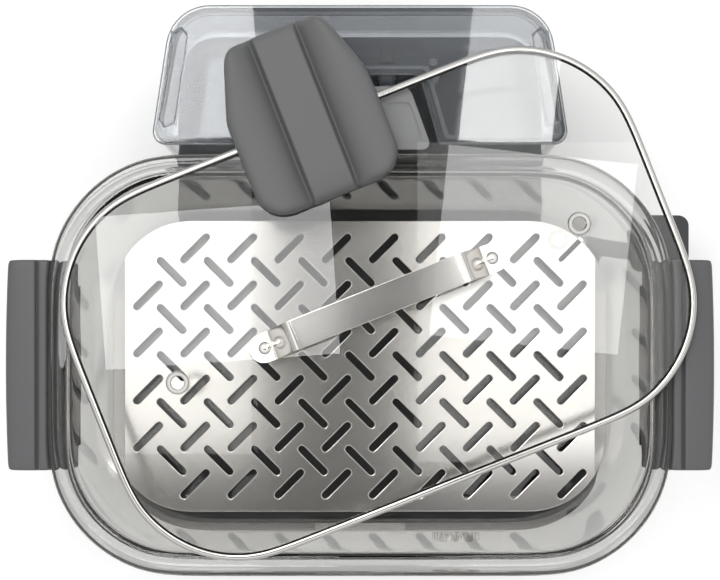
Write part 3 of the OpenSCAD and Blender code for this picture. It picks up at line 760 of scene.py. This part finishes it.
class STEAMER_OT_pot(bpy.types.Operator):
    """Make the glass pot"""

    bl_idname = "steamer.pot"
    bl_label = "Glass Pot"

    def execute(self, context):
        half_x, half_y = POT.size.x / 2, POT.size.y / 2
        low, high = POT.low.z, POT.high.z
        # how far each ring lies inside the rim's outer edge, its corner radius and its height
        rings = [
            (60, 62, 30, low), (42, 44, 46, low), (36.5, 38.5, 51, low + 0.7),
            (32, 34, 56, low + 4), (28, 29.5, 60, low + 11), (25.5, 27, 62, low + 19),
            (22, 23.5, 64, low + 33), (14, 14.5, 69, high - 24), (11, 11.5, 70.5, high - 12.5),
            (10, 10.2, 71, high - 9.6), (6, 6, 75, high - 8.9), (1.6, 1.6, 79.4, high - 8.2),
            (0.1, 0.1, 81, high - 6.2), (0, 0, 81, high - 3.5), (0.2, 0.2, 80.8, high - 1.2),
            (1.4, 1.4, 79.6, high), (2.8, 6.6, 79, high), (4.1, 8.3, 78.2, high - 0.5),
            (4.4, 8.8, 77.8, high - 2.2), (4.9, 9.3, 77.4, high - 3.7), (6.4, 10.4, 76, high - 4),
            (11, 12.2, 71, high - 4), (13, 14.0, 70, high - 4.6), (14, 15, 69, high - 7),
            (17.5, 18.7, 66.5, high - 22), (25.8, 28, 60, low + 33), (29.5, 32, 58, low + 19),
            (31.6, 34.2, 56.3, low + 11.5), (36, 38.6, 52, low + 6), (43, 45.6, 45, low + 4.1),
            (62, 64, 28, low + 4),
        ]
        bm = bmesh.new()
        loft(bm, [cage_ring(half_x - x, half_y - y, r, z) for x, y, r, z in rings])
        pot = place(make_object("pot_glass", bm), POT_PLACE)
        stack(pot, smooth_by(2))
        glass = clear_glass("pot_glass_clear", colours().pot)
        adopt(pot, glass, "pot", "pot_glass", "glass_pot")
        return {"FINISHED"}


class STEAMER_OT_handles(bpy.types.Operator):
    """Make the two side handles with the flaps that grip the pot below its rim"""

    bl_idname = "steamer.handles"
    bl_label = "Side Handles"

    def execute(self, context):
        plastic = moulded("handle_plastic", colours().handles, 0.42)
        for side, node in ((1, "handle_right"), (-1, "handle_left")):
            bm = bmesh.new()
            self.grip(bm)
            handle = make_object(node.replace("handle_", "grip_"), bm)
            place(handle, POT_PLACE)
            if side < 0:
                self.mirror(handle)
            stack(handle, smooth_by(2))
            adopt(handle, plastic, "pot", "handle_plastic", node)
        finish_node(plastic, "pot", "handle_plastic", 0.5, "handle_clamps")
        dress(polished("handle_screw_steel", colours().steel), "handle_screws")
        return {"FINISHED"}

    def mirror(self, handle):
        """Turns the right handle's mesh into the left one's."""
        bm = bmesh.new()
        bm.from_mesh(handle.data)
        bmesh.ops.scale(bm, verts=bm.verts, vec=(-1, 1, 1))
        bmesh.ops.recalc_face_normals(bm, faces=bm.faces)
        bm.to_mesh(handle.data)
        bm.free()

    def section(self, y):
        """The handle's outline across, at one place along it."""
        half = GRIP.size.y / 2
        out = GRIP.high.x
        top = GRIP.high.z
        t = abs(y) / half
        rim_half, rim_corner = POT.size.y / 2, 81.0
        past = max(0.0, abs(y) - (rim_half - rim_corner))
        back = rim_corner - math.sqrt(rim_corner ** 2 - past ** 2)
        bow = 1.6 * t * t
        flap = GRIP.low.z + 1 + 11 * t * t
        lean = (flap - 112) * 15 / 58
        wall = 165.4 + lean - back
        return [
            (190.8 - back, top - 1.6), (190.8 - back, top - 6), (189.3 - back, top - 8.6),
            (182.0 - back, top - 9.2), (179.9 - back, top - 14), (wall, flap),
            (wall + 3.4, flap - 0.6), (184.0 - back, top - 20.2), (194.5, top - 20.6),
            (196.5, top - 20), (198.2, top - 5.5), (211.0, top - 5.5), (212.8, top - 20),
            (215.2 - bow, top - 20.6), (out - bow - 0.2, top - 18.5), (out - bow, top - 8),
            (out - bow - 0.3, top - 2.6), (out - bow - 2.2, top - 0.4), (206.0, top),
            (199.0, top - 0.1), (198.0, top - 0.5), (197.6, top - 3.2), (196.9, top - 3.2),
            (196.2, top - 1.4), (193.0 - back * 0.5, top - 1.2),
        ]

    def grip(self, bm):
        """Lofts the handle through its sections, closed in a little at both ends."""
        half = GRIP.size.y / 2
        ends = [1.0, 0.985, 0.945, 0.88, 0.75, 0.5, 0.2]
        rows = [(-e, e) for e in ends] + [(e, e) for e in reversed(ends)]
        rings = []
        for at, reach in rows:
            y = at * half
            ring = [Vector((x, y, z)) for x, z in self.section(y)]
            closing = {1.0: 0.90, 0.985: 0.975}.get(reach, 1.0)
            middle = sum(ring, Vector()) / len(ring)
            if reach > 0.9:
                # the finger hollow stops short of the ends
                for i in (10, 11):
                    ring[i].z = ring[9].z + 0.3
            ring = [Vector((middle.x + (p.x - middle.x) * closing, p.y,
                            middle.z + (p.z - middle.z) * closing)) for p in ring]
            rings.append(ring)
        loft(bm, rings)


# ---- tray ----


class STEAMER_OT_tray(bpy.types.Operator):
    """Make the slotted steam tray"""

    bl_idname = "steamer.tray"
    bl_label = "Steam Tray"

    def execute(self, context):
        settings = sizes()
        half_x, half_y, corner = TRAY.size.x / 2, TRAY.size.y / 2, 50.0
        top = TRAY.high.z
        pitch = settings.slot_pitch / MM
        length, width = settings.slot_length / MM, settings.slot_width / MM
        outlines = [rounded_rectangle(half_x, half_y, corner, 16)]
        for j in range(-3, 3):
            for i in range(-5, 5):
                if i > -5 or j not in (-3, 2):
                    outlines.append(slot_outline((i + 0.5) * pitch, (j + 0.5) * pitch,
                                                 length, width, math.pi / 4))
        for j in range(-2, 3):
            for i in range(-4, 5):
                outlines.append(slot_outline(i * pitch, j * pitch, length, width, -math.pi / 4))
        plate = sheet("tray_plate", outlines, top - 1.2, top, edge=0.59, resolution=3)
        bm = bmesh.new()
        lip = [(0.2, top - 1.0), (0, top - 1.7), (0, top - 4.6), (0.5, top - 5.0),
               (1.0, top - 4.6), (1.0, top - 1.0)]
        loft(bm, walls(lambda i: rounded_rectangle(half_x - i, half_y - i, corner - i, 16), lip),
             closed=True)
        skirt = make_object("tray_lip", bm, sharp=50)
        tray = join("slotted_tray", [plate, skirt])
        self.fold(tray, half_x - 8.0, math.radians(24))
        place(tray, POT_PLACE)
        steel = satin("tray_steel", shade(colours().steel, 0.95), 0.13)
        adopt(tray, steel, "tray", "brushed_steel", "steam_tray")
        return {"FINISHED"}

    def fold(self, tray, fold_x, slope):
        """Bends both ends down along a fold."""
        bm = bmesh.new()
        bm.from_mesh(tray.data)
        for x in (fold_x - 0.8, fold_x, fold_x + 0.8):
            for side in (1, -1):
                bmesh.ops.bisect_plane(bm, geom=bm.verts[:] + bm.edges[:] + bm.faces[:],
                                       plane_co=(side * x, 0, 0), plane_no=(1, 0, 0), dist=0.001)
        for v in bm.verts:
            past = abs(v.co.x) - fold_x
            if past > -0.8:
                start = min(1.0, (past + 0.8) / 1.6)
                v.co.z -= max(0.0, past) * math.tan(slope) * start
        bm.to_mesh(tray.data)
        bm.free()


# ---- lid ----


class STEAMER_OT_lid(bpy.types.Operator):
    """Make the lid's glass and its steel rim"""

    bl_idname = "steamer.lid"
    bl_label = "Lid"

    def execute(self, context):
        half_x, half_y, corner = LID_HALF_X, LID_HALF_Y, LID_CORNER
        low, high = LID_GLASS.low.z, LID_GLASS.high.z
        inset = 2.2
        outlines = [rounded_rectangle(half_x - inset, half_y - inset, corner - inset, 20)]
        outlines += [circle_outline(s * EYELET_X, 0, 5.2) for s in (-1, 1)]
        # the steam comes in under the hood
        outlines.append([(x, y + 94) for x, y in rounded_rectangle(20, 8, 7.9, 6)])
        glass = sheet("lid_pane", outlines, low, high, edge=0.8)
        place(glass, LID_PLACE)
        clear = clear_glass("lid_glass_clear", colours().lid, 0.002)
        adopt(glass, clear, "lid", "lid_glass", "lid_glass")

        width = sizes().rim_width / MM
        z0, z1 = LID.low.z + 0.1, LID.high.z + 0.1
        section = [(-0.2, z0 + 1.2), (-0.45, (z0 + z1) / 2), (0.0, z1 - 0.9), (width / 2 - 0.4, z1),
                   (width - 1.2, z1 - 0.8), (width - 0.5, (z0 + z1) / 2), (width - 0.9, z0 + 0.8),
                   (width / 2 - 0.4, z0)]
        bm = bmesh.new()
        loft(bm, [cage_ring(half_x - i, half_y - i, corner - i, z) for i, z in section], closed=True)
        rim = place(make_object("lid_rim_tube", bm), LID_PLACE)
        stack(rim, smooth_by(2))
        # painted shade: the rim's steel is darkened to three quarters of the steel colour, for the
        # darker reflections along the tube
        steel = polished("rim_steel_shaded", shade(colours().steel, 0.75), 0.14)
        adopt(rim, steel, "lid", "polished_steel", "lid_rim")
        return {"FINISHED"}


class STEAMER_OT_lid_fittings(bpy.types.Operator):
    """Make the strap handle, its rivets and washers, and the vent eyelets"""

    bl_idname = "steamer.lid_fittings"
    bl_label = "Lid Fittings"

    def execute(self, context):
        steel = polished("strap_steel", colours().steel, 0.12)
        glass_top = LID_GLASS.high.z
        self.strap(steel, glass_top)
        spots = [LID_PLACE @ Matrix.Translation((s * RIVET_X, 0, glass_top)) for s in (-1, 1)]
        head = [(0, 4.4), (1.6, 4.3), (3.0, 3.7), (3.9, 2.7), (4.2, 2.1), (2.4, 2.0), (2.4, -4.1),
                (4.5, -4.2), (4.5, -4.8), (0, -4.8)]
        rivets = place(turned("dome_rivets", head, places=spots))
        adopt(rivets, steel, "lid", "polished_steel", "strap_rivets")
        ring = [(9.0, 0.8), (9.0, 0.1), (3.1, 0.1), (3.1, 0.8), (9.0, 0.8)]
        washers = place(turned("strap_pads", ring, places=spots))
        silicone = rubber("pad_silicone", (0.35, 0.35, 0.34), 0.6)
        adopt(washers, silicone, "lid", "silicone", "strap_washers")
        spots = [LID_PLACE @ Matrix.Translation((s * EYELET_X, 0, glass_top)) for s in (-1, 1)]
        lip = [(5.0, -4.7), (4.2, -3.4), (4.0, -2), (4.05, 0.4), (4.5, 1.5), (5.5, 2.0), (6.5, 1.6),
               (7.1, 0.8), (7.2, 0.05), (5.05, 0.05), (5.05, -3.9), (6.3, -4.1), (6.3, -4.7),
               (5.0, -4.7)]
        eyelets = place(turned("rolled_eyelets", lip, places=spots))
        adopt(eyelets, steel, "lid", "polished_steel", "vent_eyelets")
        return {"FINISHED"}

    def strap(self, steel, glass_top):
        """A bent strap: round tabs on the glass, steep risers and a flat top."""
        low = glass_top + 1.1
        rise = STRAP.high.z - low - 1.2
        end, half = 83.0, sizes().strap_width / MM / 2
        path = [(end, 0), (82.2, 0), (80.4, 0), (77.5, 0), (74, 0), (70, 0), (68.2, 0.1), (67.0, 1.4),
                (61.5, rise * 0.5), (56.6, rise - 1.6), (55.4, rise - 0.2), (53.4, rise),
                (40, rise), (20, rise)]
        widths = [2.2, 4.6, 6.9, 8.5] + [half] * (len(path) - 4)
        spots = [(-x, z, w) for (x, z), w in zip(path, widths)] + [(0, rise, half)]
        spots += [(x, z, w) for (x, z), w in reversed(list(zip(path, widths)))]
        across = (-1, -0.86, -0.3, 0.3, 0.86, 1)
        bm = bmesh.new()
        grid(bm, [[Vector((x, w * t, low + z)) for t in across] for x, z, w in spots])
        strap = make_object("bent_strap", bm)
        stack(strap, smooth_by(2),
              ("SOLIDIFY", {"thickness": 1.2, "offset": 1.0, "use_even_offset": True}),
              edge_by(0.3, 2, 50))
        apply_stack(strap)
        strap.data.shade_smooth()
        strap.data.set_sharp_from_angle(angle=math.radians(50))
        place(strap, LID_PLACE)
        adopt(strap, steel, "lid", "polished_steel", "strap_handle")


class STEAMER_OT_hood(bpy.types.Operator):
    """Make the steam hood with its raised band and soft valleys"""

    bl_idname = "steamer.hood"
    bl_label = "Steam Hood"

    FRONT, WAIST, REAR = 69.0, 134.0, 175.5
    HALF, REAR_HALF = 45.5, 31.0
    EDGE = 5.0
    PLATE = 3.0

    def base_plate_with_shadow(self):
        """The plate that the hood's shell stands on, a hair wider than the shell; its near-black edge
        outside the shell is painted shade along the shell's foot.
        """
        ys = [self.FRONT + 18.0 * (1 - math.cos(math.pi / 2 * i / 9)) for i in range(1, 10)]
        ys += [self.WAIST - 2, self.WAIST + 2]
        ys += [self.REAR - 8.0 * math.cos(math.pi / 2 * i / 5) for i in range(5)]
        side = [(self.half_at(y) + 0.3, y) for y in ys]
        front = [(self.half_at(self.FRONT), self.FRONT - 0.3)]
        rear = [(self.half_at(self.REAR), self.REAR)]
        right = front + side + rear
        outline = right + [(-x, y) for x, y in reversed(right)]
        return sheet("hood_base_shadow", [outline], HOOD.low.z + 0.05, HOOD.low.z + self.PLATE + 0.3, 0.5)

    def execute(self, context):
        # the near-black of the hood's base plate is painted shade along the foot of the shell
        black = moulded("hood_base_shadow_black", (0.016, 0.016, 0.017), 0.4)
        adopt(place(self.base_plate_with_shadow(), LID_PLACE), black, "lid", "hood_plastic")
        bm = bmesh.new()
        ys = [0, 1.2, 3.6, 7, 11, 15.5, 21, 30, 42, 54, 66, 78, 88, 95, 100, 103.4, 105.6, 106.5]
        xs = [0, 6.5, 11.8, 13.0, 14.0, 14.9, 16.6, 20, 25]
        outer = [0.35, 0.65, 0.85, 0.95, 1.0]
        rows = []
        for step in ys:
            y = self.FRONT + step
            half = self.half_at(y)
            squeeze = min(1.0, (half - 1.5) / 25.0)
            columns = [x * squeeze for x in xs]
            columns += [columns[-1] + (half - columns[-1]) * t for t in outer]
            rows.append([Vector((x, y, self.height(x, y))) for x in columns])
        verts = grid(bm, rows)
        border = [row[-1] for row in verts]
        border = [verts[0][i] for i in range(len(verts[0]) - 1)] + border
        border += [verts[-1][i] for i in range(len(verts[-1]) - 2, -1, -1)]
        low = HOOD.low.z + self.PLATE
        skirt = [border]
        for z in (low + 6.0, low + 0.8, low):
            skirt.append([bm.verts.new((v.co.x, v.co.y, z)) for v in border])
        for upper, lower in zip(skirt, skirt[1:]):
            for i in range(len(border) - 1):
                bm.faces.new((upper[i], upper[i + 1], lower[i + 1], lower[i]))
        hood = make_object("hood_shell", bm)
        stack(hood, ("MIRROR", {"use_axis": (True, False, False), "merge_threshold": 0.01,
                                "use_clip": True}),
              ("SOLIDIFY", {"thickness": 2.2, "offset": -1.0}), smooth_by(2))
        apply_stack(hood)
        place(hood, LID_PLACE)
        plastic = moulded("hood_plastic", colours().hood, 0.5, 1100.0)
        adopt(hood, plastic, "lid", "hood_plastic", "hood_cover")
        housing = moulded("duct_plastic", colours().housing, 0.5)
        finish_node(housing, "lid", "housing_plastic", 0.4, "hood_duct")
        dress(rubber("hood_seal_silicone", (0.35, 0.35, 0.34), 0.6), "hood_seal")
        dress(polished("hood_screw_steel", colours().steel), "hood_screws")
        return {"FINISHED"}

    def half_at(self, y):
        """Half the hood's width at one place along it, its corners rounded."""
        corner, rear_corner = 18.0, 8.0
        if y < self.FRONT + corner:
            reach = corner - (y - self.FRONT)
            return self.HALF - corner + math.sqrt(max(0.0, corner ** 2 - reach ** 2))
        slope = (self.HALF - self.REAR_HALF) / (self.REAR - self.WAIST)
        half = self.HALF - max(0.0, y - self.WAIST) * slope
        reach = y - (self.REAR - rear_corner)
        if reach > 0:
            half -= rear_corner - math.sqrt(max(0.0, rear_corner ** 2 - reach ** 2))
        return half

    def height(self, x, y):
        """Height of the top: a flat band, a valley beside it, then a shoulder that rolls down."""
        top = HOOD.high.z
        band, floor, shoulder, deep = 13.0, 14.6, 33.0, 9.0
        chamfer = max(0.0, 1 - (y - self.FRONT) / 13.0) * 2.4
        if x <= band:
            z = top - chamfer
        elif x <= floor:
            z = max(top - chamfer - deep * (x - band) / (floor - band), top - deep - 0.3)
        else:
            t = min(1.0, (x - floor) / (shoulder - floor))
            z = top - deep + (deep - 0.8) * t * (2 - t)
        inside = min(self.half_at(y) - x, y - self.FRONT, self.REAR - y)
        roll = max(0.0, self.EDGE - inside)
        return z - (self.EDGE - math.sqrt(max(0.0, self.EDGE ** 2 - roll ** 2)))


# ---- tank ----


class STEAMER_OT_tank(bpy.types.Operator):
    """Make the water tank and its cover"""

    bl_idname = "steamer.tank"
    bl_label = "Water Tank"

    FRONT, BACK = 134.0, 219.0
    FRONT_HALF, BACK_HALF = 127.5, 114.5
    NOTCH = (48.0, 36.0, 176.5)
    WELL_X, WELL_Y, WELL_TURN = 113.5, FRONT + 41, math.radians(8.5)

    def outline(self, inset, steps=8):
        """The tank seen from above, moved in from its edge."""
        front, back = self.FRONT + inset, self.BACK - inset
        wide, narrow = self.FRONT_HALF - inset, self.BACK_HALF - inset
        notch_front, notch_back, notch_y = (self.NOTCH[0] + inset, self.NOTCH[1] + inset,
                                            self.NOTCH[2] + inset)
        corners = [(notch_front, front), (wide, front), (narrow, back), (-narrow, back),
                   (-wide, front), (-notch_front, front), (-notch_back, notch_y),
                   (notch_back, notch_y)]
        return round_outline(corners, [3, 8, 27 - inset, 27 - inset, 8, 3, 4, 4], steps)

    def execute(self, context):
        plastic = smoked("tank_plastic_clear", colours().tank)
        low, high = TANK.low.z, TANK.high.z
        # inset and height of each ring: outside from the floor up, then inside down to the floor
        bm = bmesh.new()
        rings = [(7.5, low), (5.0, low), (3.2, low + 0.8), (2.2, low + 2.4), (1.6, low + 5),
                 (1.4, low + 8), (1.35, low + 11), (1.2, high - 3), (1.2, high - 0.8),
                 (1.5, high - 0.2), (2.0, high), (2.8, high), (3.3, high - 0.2), (3.6, high - 0.8),
                 (3.6, high - 3), (3.75, low + 13), (3.8, low + 10), (4.1, low + 6.5),
                 (5.0, low + 4.0), (6.6, low + 2.7), (8.5, low + 2.4), (11, low + 2.4)]
        loft(bm, walls(self.outline, rings))
        body = place(make_object("tank_shell", bm, sharp=45), POT_PLACE)
        adopt(body, plastic, "tank", "tank_plastic", "tank_body")

        low, high = COVER.low.z, COVER.high.z
        openings = [self.well(side, 0) for side in (1, -1)]
        plate = sheet("cover_plate", [self.outline(0), *openings], high - 3.0, high, edge=0.9)
        bm = bmesh.new()
        rim = [(3.8, high - 3.1), (3.8, low + 0.3), (4.1, low), (5.6, low), (5.8, low + 0.3),
               (5.8, high - 3.1)]
        loft(bm, walls(self.outline, rim), closed=True)
        skirt = make_object("cover_skirt", bm, sharp=45)
        profile = [(0.0, high - 2.9), (0.2, high - 8.5), (1.0, high - 9.6), (2.0, high - 8.4),
                   (1.6, high - 2.9)]
        wells = []
        for side in (1, -1):
            bm = bmesh.new()
            loft(bm, walls(lambda i: self.well(side, i - 1.4), profile), caps=(False, True))
            wells.append(make_object("cover_well", bm, sharp=45))
        cover = join("cover_shell", [plate, skirt, *wells])
        place(cover, POT_PLACE)
        adopt(cover, plastic, "tank", "tank_plastic", "tank_cover")
        dress(rubber("valve_silicone", (0.10, 0.10, 0.10), 0.55), "tank_valve")
        dress(rubber("gasket_silicone", (0.30, 0.30, 0.30), 0.6), "cover_gasket")
        dress(moulded("post_plastic", (0.16, 0.16, 0.165), 0.2), "float_post")
        dress(moulded("float_plastic", (0.40, 0.40, 0.40), 0.4), "tank_float")
        return {"FINISHED"}

    def well(self, side, inset):
        """The outline of the finger well along one side of the cover, with pointed ends."""
        half_x, half_y, point = 4.2 - inset, 30.0 - inset, 3.4
        shape = [(half_x, -half_y + point), (half_x, half_y - point), (0.6, half_y),
                 (-half_x, half_y - point), (-half_x, -half_y + point), (-0.6, -half_y)]
        turn = side * self.WELL_TURN
        c, s = math.cos(turn), math.sin(turn)
        return [(side * self.WELL_X + x * c - y * s, self.WELL_Y + x * s + y * c) for x, y in shape]


# ---- tower, base and works ----


class STEAMER_OT_tower(bpy.types.Operator):
    """Finish the steam tower and its outlet"""

    bl_idname = "steamer.tower"
    bl_label = "Steam Tower"

    def execute(self, context):
        housing = moulded("tower_plastic", colours().housing, 0.45)
        finish_node(housing, "base", "housing_plastic", 0.8, "tower_shell")
        plastic = moulded("platform_plastic", colours().platform, 0.42)
        finish_node(plastic, "base", "platform_plastic", 0.5, "outlet_platform")
        dress(rubber("nozzle_silicone", (0.3, 0.3, 0.29), 0.6), "nozzle_seal")
        dress(polished("duct_steel", colours().steel, 0.2), "steam_duct")
        return {"FINISHED"}


class STEAMER_OT_base(bpy.types.Operator):
    """Finish the base: housing, plates, feet, pads and screws"""

    bl_idname = "steamer.base"
    bl_label = "Base"

    def execute(self, context):
        housing = moulded("housing_plastic", colours().housing, 0.48)
        for node, width in (("base_housing", 1.2), ("base_top_plate", 1.0), ("bottom_cover", 0.8)):
            finish_node(housing, "base", "housing_plastic", width, node)
        black = rubber("foot_rubber", (0.02, 0.02, 0.02))
        finish_node(black, "base", "rubber", 0.8, "rubber_feet")
        dress(rubber("pad_silicone_grey", (0.2, 0.2, 0.2), 0.6), "pot_rest_pads")
        dress(polished("housing_screw_steel", colours().steel, 0.2), "housing_screws")
        finish_node(black, "base", "rubber", 0.5, "cord_gland")
        return {"FINISHED"}


class STEAMER_OT_controls(bpy.types.Operator):
    """Finish the front panel, the display, the buttons and the knob"""

    bl_idname = "steamer.controls"
    bl_label = "Front Controls"

    def execute(self, context):
        brushed = satin("panel_steel", colours().steel, 0.3)
        finish_node(brushed, "base", "brushed_steel", 0.5, "front_panel")
        # painted shade: the top trim's steel is darkened to 0.42 of the steel colour, for the shade
        # beside the tower and under the hood
        dull = satin("trim_steel_shaded", shade(colours().steel, 0.42), 0.35)
        adopt(edged("top_trim", 0.25, 2), dull, "base", "brushed_steel", "top_trim")
        housing = moulded("bezel_plastic", colours().housing, 0.4)
        finish_node(housing, "base", "housing_plastic", 0.4, "display_bezel")
        finish_node(lens("display_lens"), "base", "display_lens", 0.3, "display_window")
        dress(lens("display_glass"), "display_module")
        dress(solder_mask("board_lacquer"), "control_board")
        steel = polished("button_steel", colours().steel, 0.14)
        for button in ("start_button", "menu_button"):
            finish_node(steel, button, "polished_steel", 0.6, button)
        finish_node(steel, "knob", "polished_steel", 0.35, "control_knob")
        dress(cast_metal("encoder_metal", (0.5, 0.5, 0.5)), "knob_encoder")
        return {"FINISHED"}


class STEAMER_OT_works(bpy.types.Operator):
    """Finish the works inside the base and the tower"""

    bl_idname = "steamer.works"
    bl_label = "Works"

    def execute(self, context):
        dress(cast_metal("generator_metal", (0.55, 0.55, 0.55)), "steam_generator")
        dress(cast_metal("element_metal", (0.4, 0.4, 0.4)), "heating_element")
        dress(rubber("thermostat_phenolic", (0.03, 0.03, 0.03), 0.5), "thermostat")
        dress(rubber("hose_silicone", (0.62, 0.62, 0.6), 0.5), "feed_hose")
        dress(moulded("spigot_plastic", colours().platform, 0.4), "tank_spigot")
        dress(rubber("o_ring_rubber", (0.02, 0.02, 0.02)), "spigot_seal")
        return {"FINISHED"}


class STEAMER_OT_drain(bpy.types.Operator):
    """Finish the drain tap and its lever"""

    bl_idname = "steamer.drain"
    bl_label = "Drain"

    def execute(self, context):
        plastic = moulded("tap_plastic", colours().housing, 0.45)
        finish_node(plastic, "base", "housing_plastic", 0.8, "drain_tap")
        finish_node(plastic, "drain_lever", "housing_plastic", 1.2, "drain_lever")
        dress(moulded("drain_pipe_plastic", colours().platform, 0.4), "drain_pipe")
        return {"FINISHED"}


# ---- the add-on ----


PIECES = (
    STEAMER_OT_stage, STEAMER_OT_pot, STEAMER_OT_handles, STEAMER_OT_tray, STEAMER_OT_lid,
    STEAMER_OT_lid_fittings, STEAMER_OT_hood, STEAMER_OT_tank, STEAMER_OT_tower, STEAMER_OT_base,
    STEAMER_OT_controls, STEAMER_OT_works, STEAMER_OT_drain,
)
GROUPS = {"steamer_colours": SteamerColours, "steamer_sizes": SteamerSizes,
          "steamer_stage": SteamerStage}


class STEAMER_PT_panel(bpy.types.Panel):
    """Lists the steamer's pieces and settings"""

    bl_label = "Glass Steamer"
    bl_idname = "STEAMER_PT_panel"
    bl_space_type = "VIEW_3D"
    bl_region_type = "UI"
    bl_category = "Steamer"

    def draw(self, context):
        for name, group in GROUPS.items():
            box = self.layout.box()
            for setting in group.__annotations__:
                box.prop(getattr(context.scene, name), setting)
        for piece in PIECES:
            self.layout.operator(piece.bl_idname)


def register():
    for cls in (*GROUPS.values(), *PIECES, STEAMER_PT_panel):
        bpy.utils.register_class(cls)
    for name, group in GROUPS.items():
        setattr(bpy.types.Scene, name, PointerProperty(type=group))


def unregister():
    for name in GROUPS:
        delattr(bpy.types.Scene, name)
    for cls in reversed((*GROUPS.values(), *PIECES, STEAMER_PT_panel)):
        bpy.utils.unregister_class(cls)


def main():
    register()
    for piece in PIECES:
        module, name = piece.bl_idname.split(".")
        getattr(getattr(bpy.ops, module), name)()


if __name__ == "__main__":
    main()
